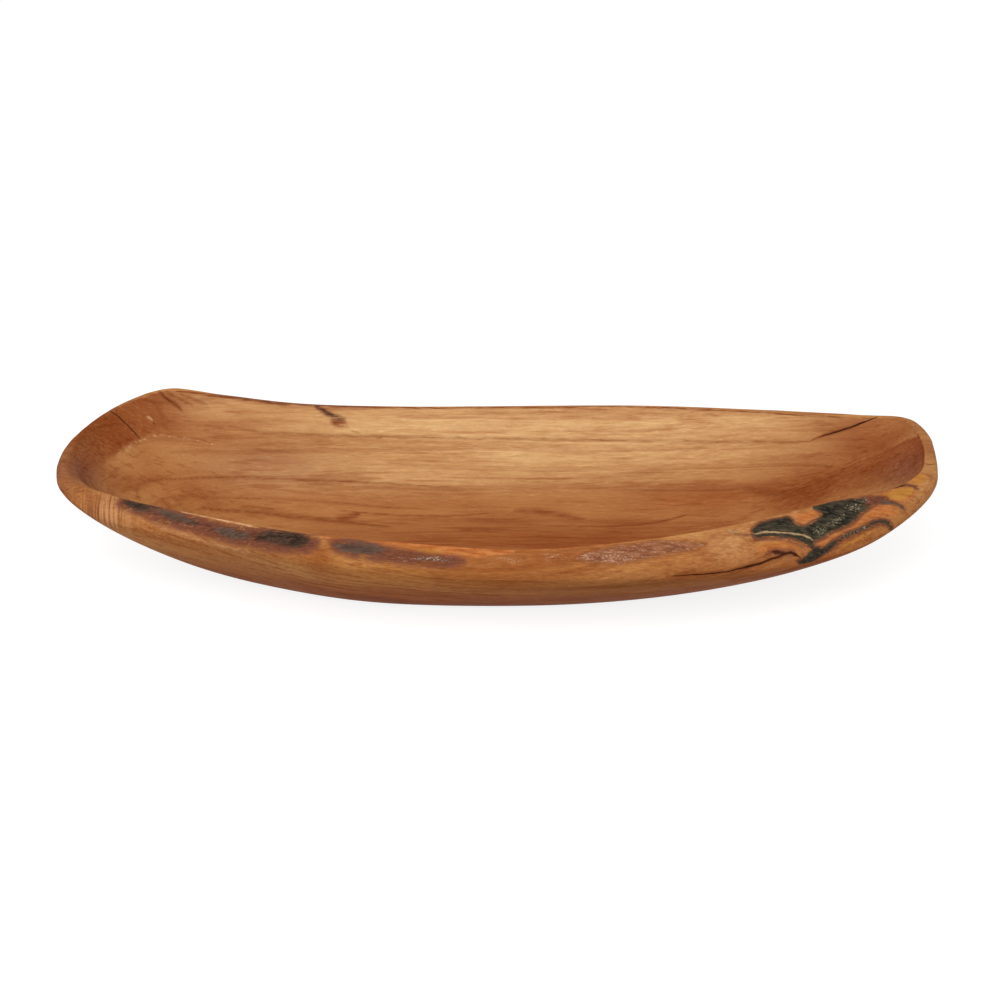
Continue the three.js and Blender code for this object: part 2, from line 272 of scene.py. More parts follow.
def steps(count):
    return np.linspace(0, 1, count + 1)


def outer_skin(turns, hull_rings, edge_rings, lip_rings):
    """Rings from the foot's edge up the hull, round the edge and over the lip."""
    rim = rim_at(turns)
    edge = rim["edge"]
    hull = wall(
        oval(edge, FOOT), rim["edge_below"],
        end_share(edge, HULL_LEVEL), end_share(edge, HULL_UPRIGHT), steps(hull_rings),
    )
    corner = bezier((rim["edge_below"], edge, rim["edge_inside"]), steps(edge_rings)[1:])
    lip = bezier((rim["edge_inside"], rim["crest_outside"]), steps(lip_rings)[1:])
    return np.concatenate((hull, corner, lip))


def run_along(rings):
    """The distance over the surface from the first ring to each ring."""
    spans = np.linalg.norm(np.diff(rings, axis=0), axis=2)
    return np.concatenate((np.zeros((1, rings.shape[1])), np.cumsum(spans, axis=0)))


def rings_at(rings, distances):
    """Points at these distances from the first ring, each a row with a value for each turn."""
    down = run_along(rings)
    points = np.empty((len(distances), rings.shape[1], 3))
    for column in range(rings.shape[1]):
        for axis in range(3):
            points[:, column, axis] = np.interp(
                distances[:, column], down[:, column], rings[:, column, axis],
            )
    return points


def inner_skin(turns):
    """Rings over the crest and down the wall of the hollow to its floor."""
    rim = rim_at(turns)
    edge = rim["edge"]
    hollow = wall(
        oval(edge, FLOOR), rim["crest_below"],
        end_share(edge, HOLLOW_LEVEL), end_share(edge, HOLLOW_UPRIGHT), steps(WALL_STEPS),
    )[::-1]
    start = np.maximum(rim["inside_round"] - CREST_ROUND, 0)
    length = run_along(hollow)[-1]
    hollow = rings_at(hollow, start + (length - start) * steps(HOLLOW_RINGS)[:, None])
    ahead = unit(hollow[0] - hollow[1])
    reach = 0.5 * np.linalg.norm(rim["crest"] - hollow[0], axis=1)[:, None]
    bend = 0.5 * (rim["crest_outside"] + rim["crest"])
    corners = (rim["crest_outside"], bend, hollow[0] + reach * ahead, hollow[0])
    return np.concatenate((bezier(corners, steps(CREST_RINGS)[1:]), hollow[1:]))


# The run along the rim from the left end, by the front and by the back, at fine places.
# The edge's x in mm gives the place on either side, and both sides end at the right end.
LEFT_END = 0.5
RIGHT_END = 1 + 1 / len(RIM_STATIONS)
SIDES = {}
for side, last in (("front", RIGHT_END), ("back", RIGHT_END - 1)):
    places = np.linspace(LEFT_END, last, RIM_PLACES)
    edge_line = rim_edge(places)
    spans = np.linalg.norm(np.diff(edge_line[:, :2], axis=0), axis=1)
    run = np.concatenate(((0,), np.cumsum(spans)))
    SIDES[side] = (places, run, np.maximum.accumulate(edge_line[:, 0]))


def run_at_x(side, x_mm):
    """The run along the rim where its outer edge has this x."""
    _, run, x = SIDES[side]
    return np.interp(np.asarray(x_mm) * MM, x, run)


def skin_grid(side, runs, belows):
    """Points and outward normals of the outer skin, for runs by distances below the crest."""
    places, run, _ = SIDES[side]
    turns = np.interp(runs, run, places)
    rings = (outer_skin(turns, *PATCH_RINGS), inner_skin(turns)[:CREST_RINGS])
    rings = np.concatenate(rings)[::-1]
    start = run_along(rings)[CREST_RINGS] - rim_at(turns)["outside_round"]
    points = rings_at(rings, start + belows[:, None])
    across = np.gradient(points, axis=0)
    ahead = np.gradient(points, axis=1)
    normals = np.cross(across, ahead)
    if side == "back":
        normals = -normals
    return points, unit(normals)


def smooth(values, low, high):
    """0 below low, 1 above high, and a soft step between."""
    share = np.clip((values - low) / (high - low), 0, 1)
    return share * share * (3 - 2 * share)


def lattice_noise(points, size, seed, layers=1):
    """Soft noise from about -1 to 1. The size may be one length or one for each axis."""
    count = 32
    total = np.zeros(len(points))
    weight = 1.0
    reach = 0.0
    for layer in range(layers):
        table = np.random.default_rng(seed + layer).uniform(-1, 1, (count, count, count))
        place = points / np.asarray(size) * 2**layer
        cell = np.floor(place).astype(int)
        share = place - cell
        share = share * share * (3 - 2 * share)
        for corner in np.ndindex(2, 2, 2):
            i, j, k = ((cell[:, axis] + corner[axis]) % count for axis in range(3))
            part = [share[:, a] if corner[a] else 1 - share[:, a] for a in range(3)]
            total += weight * table[i, j, k] * part[0] * part[1] * part[2]
        reach += weight
        weight *= 0.5
    return total / reach * 1.4


def curve_through(points, closed=False):
    """A smooth line through these points. An open one gets a point more past each end."""
    points = np.asarray(points, float)
    if closed:
        places = np.arange(SPAN_STEPS * len(points)) / SPAN_STEPS
    else:
        places = 1 + np.arange(SPAN_STEPS * (len(points) - 1) + 1) / SPAN_STEPS
        before = 2 * points[:1] - points[1:2]
        after = 2 * points[-1:] - points[-2:-1]
        points = np.concatenate((before, points, after))
    return closed_curve(points, places / len(points), even=True)


def to_line(points, line):
    """For each point, the shortest offset to the line and the share of the way along it."""
    best = np.full(len(points), np.inf)
    offset = np.zeros_like(points)
    along = np.zeros(len(points))
    for index, (a, b) in enumerate(zip(line, line[1:])):
        span = b - a
        share = np.clip((points - a) @ span / max(span @ span, 1e-12), 0, 1)
        gap = a + share[:, None] * span - points
        distance = np.linalg.norm(gap, axis=1)
        near = distance < best
        best[near] = distance[near]
        offset[near] = gap[near]
        along[near] = (index + share[near]) / (len(line) - 1)
    return best, offset, along


def inside_depth(points, outline):
    """How far each point of the plane is inside a closed outline, and below 0 outside it."""
    loop = np.concatenate((outline, outline[:1]))
    distance, _, _ = to_line(points, loop)
    inside = np.zeros(len(points), bool)
    for (ax, ay), (bx, by) in zip(loop, loop[1:]):
        crosses = (ay > points[:, 1]) != (by > points[:, 1])
        at = ax + (points[:, 1] - ay) / (by - ay if by != ay else 1e-12) * (bx - ax)
        inside ^= crosses & (points[:, 0] < at)
    return np.where(inside, distance, -distance)


def skin_curve(side, corners, closed=False):
    """A curve of the skin through the edge's x and the distance below the crest, in mm."""
    x, below = np.array(corners, float).T
    return curve_through(np.stack((run_at_x(side, x), below * MM), axis=1), closed)


def skin_curves(side, group, closed=False):
    """Stain or painted light, size in metres, strength and curve, of entries typed in mm."""
    return [
        (stain_or_light, size * MM, strength, skin_curve(side, corners, closed))
        for stain_or_light, size, strength, corners in group
    ]


def linear(red, green, blue):
    """A colour written as on screen, from 0 to 255, as Blender's linear one."""
    parts = []
    for part in (red, green, blue):
        share = part / 255
        parts.append(share / 12.92 if share <= 0.04045 else ((share + 0.055) / 1.055) ** 2.4)
    return (*parts, 1.0)


# The pieces let into the skin: the side and slot of each, the stain of the wood round it with
# its width in mm and strength, and the outline of what shows, as x of the rim's edge and
# distance below the crest in mm.
Patch = namedtuple("Patch", "side slot margin loop")
PATCHES = {
    "bark_strip_left": ("front", "grey_bark", ("plum", 2.4, 0.9), [
        (-210, 4.4), (-207, 1.9), (-199, 1.7), (-189, 1.7), (-180, 2.2), (-170, 3), (-160, 3.8),
        (-148, 4), (-138, 3.6), (-130, 2.6), (-120, 1.7), (-109, 1.7), (-102, 2.4),
        (-97, 4.2), (-95.8, 6.8), (-101, 10), (-109, 11), (-119, 12), (-129, 11.8),
        (-138, 11.8), (-147, 11.6), (-155, 11.2), (-164, 10), (-173, 10.2), (-182, 9.4),
        (-191, 8), (-199, 7.2), (-206, 6),
    ]),
    "bark_patch_middle": ("front", "brown_bark", ("plum", 2.4, 0.9), [
        (-87.5, 4.6), (-83, 2.8), (-74, 2.4), (-65, 3.8), (-56, 5.4), (-42, 7), (-30, 7.8),
        (-21, 8.2), (-18, 9), (-26, 10.6), (-40, 11.2), (-52, 11), (-62, 10.4),
        (-74, 9.6), (-84, 7.8),
    ]),
    "bark_patch_right": ("front", "pink_bark", ("red", 1.0, 0.5), [
        (42, 7), (50, 4), (60, 2.4), (75, 2), (89, 2.2), (101, 4.4), (111, 7.4), (113, 9),
        (106, 10.8), (93, 11.4), (80, 12.6), (66, 13), (54, 11.6), (45, 9.6),
    ]),
    "ingrown_bark": ("front", "ingrown_bark", ("plum", 0.8, 0.9), [
        (139, 6), (143, 3.2), (150, 2.9), (157, 3), (162, 3.6), (165, 7.5), (169, 10.4),
        (175, 9.2), (179, 8.4), (180.5, 5.4), (178, 2.4), (184, 1.8), (190, 1.8), (197, 2.6),
        (203, 2.8), (210, 2.8), (217, 4), (221, 5.9), (218, 8), (213, 9), (207, 11.6),
        (202, 14), (196, 17), (190, 18.6), (183, 19), (177, 20.8), (172, 21.5),
        (170, 24), (166, 21), (161, 17), (155, 14.4), (148, 12.4), (141.5, 12), (139, 9.4),
    ]),
    "ingrown_bark_seam": ("front", "ingrown_bark", ("plum", 0.9, 0.9), [
        (161.5, 28.5), (167, 27.6), (171, 24.6), (174, 24.6), (177.5, 25.4), (181, 23.4),
        (185, 22.6), (191, 21), (198, 20.4), (203, 19.4), (208, 18.6), (213, 19.6),
        (216, 22.6), (215.4, 26), (213, 24), (209, 21.4), (203, 22.4), (196, 23.2),
        (190, 24.2), (185, 25.6), (181, 27.6), (176, 29.2), (170, 31), (164, 30.4),
    ]),
    "rim_knot": ("front", "knot", ("orange", 0.6, 0.9), [
        (219, 3.4), (222, 1.8), (229, 1.7), (234, 3), (236, 6), (233, 9.4), (228, 10.8),
        (223.5, 9.8), (220.5, 6.5),
    ]),
    "bark_edge_back": ("back", "brown_bark", ("plum", 2.4, 0.9), [
        (-172, 5), (-160, 2.6), (-142, 2.2), (-120, 2), (-98, 2.2), (-80, 2.8), (-62, 5),
        (-70, 8.5), (-90, 11.5), (-112, 14), (-132, 14.6), (-152, 12), (-166, 8.5),
    ]),
}
for name, (side, slot, margin, corners) in PATCHES.items():
    PATCHES[name] = Patch(side, slot, margin, skin_curve(side, corners, closed=True))

# The stains of the wood and bark, and the painted highlights and painted shade laid in the
# same way: two colours between which each one varies, and the kind of its edge. They are laid
# over each other in this order.
STAINS_AND_LIGHT = {
    # Red also serves as painted shade along the crests; orange and pale also serve as painted highlights.
    "red": ((120, 58, 26), (146, 78, 40), "soft"),
    "orange": ((184, 100, 48), (206, 132, 76), "soft"),
    "gold": ((186, 116, 50), (206, 140, 68), "soft"),
    "plum": ((102, 58, 44), (136, 80, 60), "soft"),
    "pale": ((208, 154, 106), (228, 178, 130), "soft"),
    "grey": ((76, 60, 52), (112, 88, 74), "rough"),
    "black": ((38, 33, 28), (92, 68, 54), "rough"),
    "green": ((32, 32, 28), (82, 72, 58), "rough"),
    "olive": ((120, 110, 86), (178, 164, 132), "dusty"),
    "chalk": ((176, 128, 98), (214, 178, 150), "dusty"),
    "cream": ((160, 130, 90), (196, 164, 122), "thin"),
    "crack": ((44, 22, 12), (84, 44, 24), "thin"),
}

# Edges that don't fade softly: how far flakes and specks move each, and the values between
# which it comes in.
EDGES = {
    "rough": (0.9, 0.25, 0.1, 0.95),
    "dusty": (0.9, 0.25, 0.1, 0.95),
    "thin": (0.15, 0.15, 0.2, 0.75),
}

# Areas of stain on the front skin, some of them painted highlight: the stain, how soft the edge
# is in mm, how strong it is, and the outline in x and depth below the crest.
AREAS = [
    ("black", 3, 0.8, [(-209, 3), (-204, 0), (-195, 0), (-187, 0.6), (-184, 2), (-189, 3), (-194, 5),
        (-199, 6), (-204, 5.4)]),
    ("grey", 2.4, 0.75, [(-203, 4), (-196, 2.6), (-189, 3.6), (-192, 6), (-197, 6.8), (-201, 6.2)]),
    ("grey", 3.5, 0.9, [(-188, 3.2), (-180, 2.6), (-170, 3.7), (-163, 4.8), (-162, 7.3), (-168, 7.8),
        (-174, 7.6), (-181, 6.6)]),
    ("black", 3, 0.35, [(-184, 3.6), (-176, 3.4), (-168, 5), (-166, 6.6), (-175, 6.6)]),
    ("grey", 3.5, 0.85, [(-152, 6.6), (-146, 5), (-139, 5.5), (-134, 6), (-132, 8.7), (-138, 10.6),
        (-143, 11.2), (-148, 10.4)]),
    ("black", 3.5, 1.0, [(-127, 4.6), (-120, 1.8), (-112, 0.8), (-105, 1.4), (-100, 3.9), (-101, 6.7),
        (-105, 8.8), (-111, 9.6), (-118, 8.9), (-124, 8.6), (-129, 8.8)]),
    ("grey", 4, 0.8, [(-86, 4.6), (-78, 2.8), (-68, 2.8), (-61, 4.4), (-59, 6.7), (-65, 9.4), (-76, 9.4),
        (-84, 7.6)]),
    ("black", 4, 0.35, [(-82, 4.6), (-74, 3.4), (-66, 4), (-64, 6.7), (-72, 8.4), (-80, 7)]),
    ("plum", 4, 0.5, [(-62, 5), (-40, 7), (-24, 8), (-18, 8.6), (-22, 9.6), (-39, 11.3), (-55, 11)]),
    ("grey", 2.4, 0.7, [(-42, 8.4), (-32, 8.2), (-24, 8.8), (-30, 10), (-40, 10.2)]),
    ("chalk", 3, 0.5, [(-52, 8), (-40, 7.6), (-24, 8), (-20, 9.4), (-34, 10.8), (-50, 10.6)]),
    ("chalk", 3, 0.7, [(2, 5), (12, 4.6), (16, 7), (8, 8.4), (2, 7.6)]),
    ("chalk", 3, 0.6, [(24, 4), (36, 3.6), (38, 6.6), (28, 7.4)]),
    ("chalk", 4, 0.5, [(42, 6), (60, 5), (76, 8), (70, 12), (54, 12)]),
    ("pale", 4, 0.35, [(-188, 11), (-170, 12.5), (-150, 14), (-132, 14.5), (-126, 16), (-130, 19),
        (-145, 18.5), (-165, 17), (-182, 14.5)]),
    # Orange along the front lip: partly worn wood, partly a painted highlight along the crest.
    ("orange", 2.4, 0.7, [(-172, 0), (-150, -1), (-130, -1), (-126, 1), (-134, 2.6), (-150, 3.2),
        (-166, 2.6)]),
    ("orange", 2.4, 1.0, [(-98, 0), (-70, -0.5), (-40, -0.5), (-4, 0), (10, 2), (-10, 6), (-30, 6.4),
        (-55, 4), (-72, 1.6), (-90, 2)]),
    ("gold", 2.4, 0.8, [(-48, 3), (-36, 2.6), (-26, 4.4), (-30, 6.4), (-42, 5.6)]),
    ("green", 2, 1.0, [(139.5, 6.6), (143, 3.6), (150, 3), (157, 3), (162, 3.6), (163.4, 7), (158, 8.4),
        (150, 8), (144, 7.8)]),
    ("green", 2, 1.0, [(177, 1.2), (184, 0.8), (190, 1), (197, 2), (203, 2.6), (208, 3.4), (209, 6),
        (205, 9), (200, 12), (195, 15), (190, 17), (183, 17.6), (177, 18.4), (172, 18), (169, 15),
        (170, 12), (176, 10), (180, 8), (181, 5)]),
    ("plum", 2.4, 0.9, [(206, 3), (213, 2.8), (219, 4.2), (220, 6), (216, 7.8), (210, 9), (206, 8)]),
    ("orange", 2, 0.9, [(165, 3), (171, 2.6), (177, 3.4), (178, 6.4), (174, 8.6), (168, 9),
        (165.5, 6.4)]),
    ("orange", 2.4, 0.8, [(172, 23), (178, 20.8), (186, 20), (194, 18.6), (202, 16), (200, 19), (190, 21),
        (182, 22.6), (176, 24.2)]),
    ("orange", 3, 0.8, [(205, 13.6), (212, 10.4), (218, 11.4), (220, 15), (219, 18.4), (211, 17.6),
        (203, 18.4), (200, 17)]),
    ("gold", 2.4, 0.9, [(184, 29), (191, 26.8), (197, 24.8), (205, 23.6), (202, 26), (195, 27.6),
        (186, 30)]),
    ("gold", 3, 0.6, [(146, 14), (154, 16), (160, 19), (164, 23), (158, 21), (150, 18), (140, 16),
        (130, 15)]),
    ("green", 2.2, 1.0, [(161, 30), (166, 27.6), (171, 24), (175, 25), (180, 25), (182, 26.4), (177, 29),
        (171, 31.4), (164, 32)]),
    ("gold", 2.4, 0.9, [(237, 2.4), (241, 0.6), (244.5, 2), (245, 5.2), (242.5, 6.6), (239, 6)]),
    ("plum", 1.6, 0.8, [(233, 1.6), (236.4, 3.6), (237.4, 7), (235.6, 8.4), (235, 5)]),
    ("olive", 2.4, 1.0, [(171, 14), (176, 13), (181, 15), (180, 18.4), (174, 17.6)]),
    ("olive", 2, 0.7, [(181, 13), (188, 11), (194, 10), (193, 13), (186, 15)]),
    ("olive", 2.4, 0.9, [(196, 6), (200, 4.6), (204, 7), (201.5, 11), (197, 9.6)]),
    ("olive", 2.4, 0.9, [(204, 2.6), (209, 3), (211, 5.6), (207, 7.4), (204, 5.4)]),
]

# Lines of stain on the front skin, some of them painted highlights and shade along the crest:
# the stain, the half width in mm, how strong it is, and its points in x and depth below the crest.
FRONT_LINES = [
    ("green", 0.8, 0.8, [(139, 10), (146, 10.4), (153, 12.2), (159, 14.6), (164, 17.4), (168, 21),
        (170, 24.4), (171, 27)]),
    ("plum", 1.0, 0.7, [(140, 12.2), (149, 13.4), (156, 16), (161.6, 19.6), (165.6, 23.6)]),
    ("cream", 0.45, 1.0, [(139, 8.3), (146, 8.6), (153, 10.4), (160, 13), (165.6, 15.5), (169, 17.9),
        (171, 20.4)]),
    ("plum", 0.8, 0.8, [(128, 5.6), (133, 7.2), (139, 8.6)]),
    ("cream", 0.5, 0.8, [(126, 2.8), (129, 4.4), (132, 5.4)]),
    ("green", 0.75, 0.9, [(173, 28.4), (177.5, 26.4), (181, 24.6), (185, 24), (191.6, 22.4), (198, 21.8),
        (203, 20.6), (208, 19.6), (212.6, 20.6), (215, 23.4), (214.6, 26)]),
    ("olive", 0.7, 0.7, [(185, 24), (191.6, 22.4), (198, 21.8), (203, 20.6)]),
    ("plum", 1.8, 0.8, [(213, 8.4), (217, 8.8), (220.6, 10), (223, 12.8), (224.4, 16.4)]),
    ("grey", 1.1, 0.85, [(215, 8.4), (217, 8.6), (220.6, 9.8), (223, 12.6), (224.4, 16)]),
    ("crack", 0.45, 0.9, [(94, 22.8), (105, 24), (113.6, 24.8), (122.4, 25.4), (131, 25), (139.4, 25.2),
        (144.8, 24.4), (149.8, 24), (153, 23.2)]),
    ("crack", 0.7, 0.9, [(122.4, 25.4), (131, 25), (139.4, 25.2), (144.8, 24.4), (149.8, 24), (154.2, 23),
        (157.9, 23.2), (161, 25.6), (163, 28)]),
    ("plum", 2.2, 0.9, [(144, 21), (147.3, 20.5), (150.6, 21), (154, 22.4), (158, 23.4), (161, 25.4)]),
    ("crack", 1.1, 0.7, [(148, 21.4), (150.6, 21.4), (153, 22.4), (156, 23.2)]),
    ("crack", 0.7, 0.8, [(147.3, 20.5), (150.6, 20.8), (154.2, 23)]),
    ("orange", 2.6, 1.0, [(140, 17.6), (149, 17.8), (156, 19.4), (162, 22)]),
    ("red", 1.6, 0.7, [(90, 22.6), (105, 24), (122, 25.4), (139, 25.2), (150, 24), (158, 23.6)]),
    # A pale line along the crest at the left tip: painted highlight.
    ("pale", 0.6, 0.7, [(-244, 0.8), (-236, 0.7), (-226, 0.7), (-214, 0.9)]),
    ("crack", 0.5, 0.9, [(214, 0.8), (219, 0.7), (224, 0.6), (230, 1), (235, 2.2)]),
    ("plum", 1.6, 0.9, [(232, 1.4), (235.4, 3), (236.8, 6), (236, 8.6)]),
    ("crack", 0.3, 0.9, [(248.2, 2.6), (248.35, 5), (248.5, 7.6)]),
    # A pale line along the crest over the bark strip: partly worn lip, partly painted highlight.
    ("pale", 0.8, 1.0, [(-176, 1), (-164, 0.9), (-150, 1), (-138, 1.4), (-130, 2)]),
    # An orange line along the middle of the front crest: painted highlight.
    ("orange", 0.8, 0.9, [(-10, 0.9), (10, 0.7), (30, 0.6), (50, 0.7), (64, 1.0)]),
    # A dark red line just inside the front crest: painted shade along that edge.
    ("red", 0.7, 0.7, [(-96, 0.2), (-70, 0), (-40, 0), (0, 0), (60, 0), (110, 0.2)]),
]

# The same on the back skin: dark red lines of painted shade along the back crest.
BACK_LINES = [
    ("red", 0.8, 0.9, [(-192, 0), (-170, -0.2), (-140, 0), (-120, 0)]),
    ("red", 0.5, 0.8, [(-130, 0), (-60, 0.2), (0, 0), (60, 0), (120, 0), (180, 0), (226, 0)]),
]
AREAS = skin_curves("front", AREAS, closed=True)
LINES = {"front": skin_curves("front", FRONT_LINES), "back": skin_curves("back", BACK_LINES)}

# Creases of the hollow, where the walls of its ends meet its floor: how deep and how wide they
# are, and their points in mm.
CREASE_DEPTH = 0.8 * MM
CREASE_WIDTH = 5 * MM
LEFT_CREASE = [
    (-226.6, 26.4, 50), (-220.5, 40.7, 50.7), (-213.6, 52.5, 51.3), (-207.4, 61.5, 52), (-201, 67.6, 52),
    (-192.8, 70.8, 50.2), (-181.4, 72.5, 47.4), (-167, 72.5, 43.8),
]
RIGHT_CREASE = [
    (243, 41, 65), (237.4, 47, 58.4), (229.5, 48.2, 52.9), (216, 50.3, 45.2), (204.4, 50.9, 39.6),
    (190.8, 50.6, 34),
]

# A small lump on the left wall of the hollow: its centre and radii in mm, and its height.
LUMP = ((-204.6, 75.6, 58.8), (2.4, 2.4, 2.4))
LUMP_HEIGHT = 0.9 * MM

# Marks in the hollow, cracks and stains and a few painted highlights: the stain, its half width
# and depth in mm, how strong it is, and its points in mm.
MARKS = [
    ("crack", 0.3, 0.8, 1.0, [(-228, 67, 67), (-221.8, 66.9, 64.2), (-216.9, 65.7, 59.7),
        (-212.1, 63.4, 55.5), (-208, 60.6, 51.9)]),
    ("red", 1.0, 0, 0.6, [(-226, 67, 66), (-221.8, 66.9, 64.2), (-216.9, 65.7, 59.7), (-211, 63, 54)]),
    ("crack", 0.38, 0.8, 1.0, [(193.3, 74.4, 47.8), (199.5, 75.4, 49.9), (205.7, 76, 51.8),
        (212.5, 76.3, 54), (219, 77, 56.4), (226, 77, 60)]),
    ("red", 1.1, 0, 0.9, [(187.4, 73.6, 46), (199.5, 75.4, 49.9), (205.7, 76, 51.8), (212.5, 76.3, 54),
        (219, 77, 56.4)]),
    ("crack", 0.5, 0.2, 0.6, [(-200, 91, 69), (-196.6, 88, 67), (-191.2, 86.7, 63.6)]),
    ("red", 1.6, 0, 0.8, [(-201, 91, 69), (-196.6, 88, 67), (-191.2, 86.7, 63.6), (-187, 85, 60)]),
    ("red", 1.2, 0, 0.7, [(-197, 92, 69), (-189.6, 89.3, 66.4), (-181.2, 88, 62.6)]),
    ("red", 1.2, 0, 0.6, [(-188.4, 90.6, 68.6), (-179.6, 89.7, 65), (-171.8, 88.6, 62.4)]),
    ("red", 1.0, 0, 0.4, [(-178, 92, 66), (-170, 91, 64), (-160, 90, 62)]),
    ("red", 1.8, 0, 0.5, [(-204, 84, 66), (-200, 82, 61), (-196.9, 77.5, 56.5), (-195, 74, 52)]),
    ("plum", 1.7, 0, 1.0, [(-108.5, 92, 60), (-104.5, 89.6, 59.3), (-99.1, 88.3, 56), (-94.8, 87.6, 54.4),
        (-89, 87, 52.6)]),
    ("black", 0.9, 0.2, 0.7, [(-106, 91, 60), (-101.5, 89, 57.6), (-97.4, 88, 55.4), (-93.6, 87.2, 54)]),
    ("red", 1.8, 0, 0.8, [(-100, 86.6, 53), (-94, 85.6, 51.6), (-88, 85.2, 50.4)]),
    ("red", 0.9, 0, 0.5, [(-87, 83.4, 48), (-80, 82.1, 46)]),
    ("red", 0.7, 0, 0.6, [(-73, 81.5, 44.6), (-68, 81.3, 44.3)]),
    ("red", 0.7, 0, 0.6, [(-62, 82.4, 45), (-57.6, 81.7, 44)]),
    ("red", 1.3, 0, 0.5, [(-178, 78, 50), (-158, 81, 51), (-141, 80, 48.5), (-99, 81, 46),
        (-58, 82, 44.5), (-9, 82, 43.5), (38, 82, 43), (90, 80, 43), (150, 76, 43), (186, 74, 45)]),
    ("red", 1.2, 0, 0.6, [(-27, 59, 22), (-69, 60, 24), (-116, 59, 27), (-157, 56, 30.5), (-187, 43, 35),
        (-198, 36, 37), (-204, 30, 38), (-206, 22, 37), (-204, 15, 35)]),
    ("red", 1.0, 0, 0.5, [(-178, 34, 27), (-144, 45, 22), (-104, 48, 18), (-56, 46, 14)]),
    ("red", 2.0, 0, 0.7, [(-171, 28, 23), (-138, 36, 16), (-97, 36, 11.5), (-60, 30, 10)]),
    ("red", 2.6, 0, 0.8, [(-94.2, 37.9, 12), (-88.5, 38.4, 12), (-84.4, 39.9, 12.3), (-79.7, 41.8, 13)]),
    ("red", 2.4, 0, 0.7, [(10, 46, 13), (30, 44, 12.6), (52, 38, 11)]),
    ("red", 3.4, 0, 0.7, [(146, 52, 25), (160, 46, 24), (176, 38, 27)]),
    ("red", 0.9, 0, 0.7, [(-92, 44, 13), (-60, 42, 11), (-28, 42, 11), (-4, 44, 12)]),
    ("red", 0.9, 0, 0.8, [(-46, 17, 10), (-16, 15, 10), (16, 16, 10), (44, 18, 10)]),
    ("red", 1.0, 0, 0.8, [(48, 31, 10), (74, 31, 10), (96, 34, 11), (112, 38, 14)]),
    ("red", 0.8, 0, 0.7, [(-20, 26, 10), (20, 27, 10), (52, 24, 10), (92, 22, 10)]),
    # A pale line along the left crease, where its ridge catches the light: painted highlight.
    ("pale", 0.8, 0, 0.5, LEFT_CREASE[1:]),
    # Pale on the lump: painted highlight.
    ("pale", 1.2, 0, 1.0, [(-204.9, 76, 59.2), (-204, 74.8, 57.8)]),
    ("crack", 0.4, 0.1, 0.7, [(-202.6, 74.6, 57.4), (-202, 73.8, 56)]),
]
MARK_LINES = []

# Broad tones of the wood, as colours on screen, also used for painted light and shade.
TONES = {
    "honey": (193, 133, 80),
    "rose": (168, 110, 74),
    "straw": (226, 176, 121),
    "gold": (186, 122, 60),
    "amber": (176, 108, 58),
    "rust": (158, 84, 42),
    "mahogany": (142, 70, 32),
    "umber": (132, 76, 38),
    "mauve": (136, 84, 64),
}

# The flat walls of the hollow's ends, as outlines of their plan in mm. Their tone, partly the
# end grain's own darker colour and partly painted shade, ends sharply at the crease that each
# has with the floor.
FACETS = {
    "left": [(-236, 10), *(point[:2] for point in LEFT_CREASE),
             (-150, 73), (-150, 110), (-262, 110), (-262, 10)],
    "right": [(176, 49), *(point[:2] for point in RIGHT_CREASE[::-1]),
              (262, 41), (262, -60), (176, -60)],
}

# Where each tone lies, in the hollow and outside it: its centre and radii in mm, its strength,
# and the facet that it keeps to. Some of them are painted light and shade, as marked.
HOLLOW_TINTS = [
    # Straw along the back wall: partly paler wood, partly painted light on the wall that faces the lamp.
    ("straw", (40, 92, 54), (190, 24, 16), 1.0),
    ("straw", (60, 78, 38), (120, 16, 8), 0.8),
    ("straw", (0, 86, 47), (90, 10, 7), 0.7),
    ("straw", (-50, 62, 27), (100, 18, 8), 0.6),
    ("rust", (122, 50, 20), (50, 18, 8), 0.8),
    ("rose", (-138, 65, 32), (48, 18, 12), 0.9),
    ("straw", (85, 70, 27), (60, 14, 6), 0.5),
    ("mahogany", (-206, 78, 62), (12, 12, 8), 0.6),
    ("amber", (0, 36, 14), (190, 26, 9), 0.25),
    # Rust and mahogany on the front of the floor: partly darker wood, partly painted shade.
    ("rust", (40, 14, 10), (160, 24, 12), 0.85),
    ("mahogany", (24, 6, 10), (110, 8, 10), 0.65),
    ("rust", (-40, 50, 16), (110, 14, 7), 0.35),
    ("rust", (0, -40, 20), (220, 30, 25), 0.8),
    ("amber", (-180, 40, 32), (44, 26, 14), 0.7),
    ("rust", (-214, 24, 42), (14, 20, 10), 0.4),
    # Mahogany and umber on the left end wall: partly darker end grain, partly painted shade.
    ("mahogany", (-222, 56, 60), (34, 44, 24), 1.0, "left"),
    ("umber", (-240, 36, 62), (10, 22, 10), 0.8, "left"),
    ("rust", (-200, 82, 60), (28, 22, 16), 1.0),
    # Straw high on the back wall: partly paler wood, partly painted light, as above.
    ("straw", (-168, 94, 63), (26, 12, 8), 0.8),
    ("rust", (-152, 82, 52), (24, 8, 4), 0.7),
    # The right end, mahogany, rust and mauve: partly darker wood, partly painted shade where it faces
    # away from the lamp.
    ("mahogany", (226, 38, 50), (34, 34, 20), 0.9, "right"),
    ("mahogany", (190, 44, 34), (30, 26, 14), 0.8),
    ("rust", (222, 64, 54), (34, 24, 18), 1.0),
    ("mahogany", (214, 70, 52), (20, 16, 10), 0.7),
    ("mahogany", (176, 36, 26), (26, 22, 10), 0.9),
    ("mauve", (234, 14, 54), (15, 20, 12), 1.0, "right"),
    ("mahogany", (241, 22, 62), (10, 40, 6), 1.0, "right"),
    ("mauve", (-236, 8, 54), (16, 24, 12), 0.9),
]
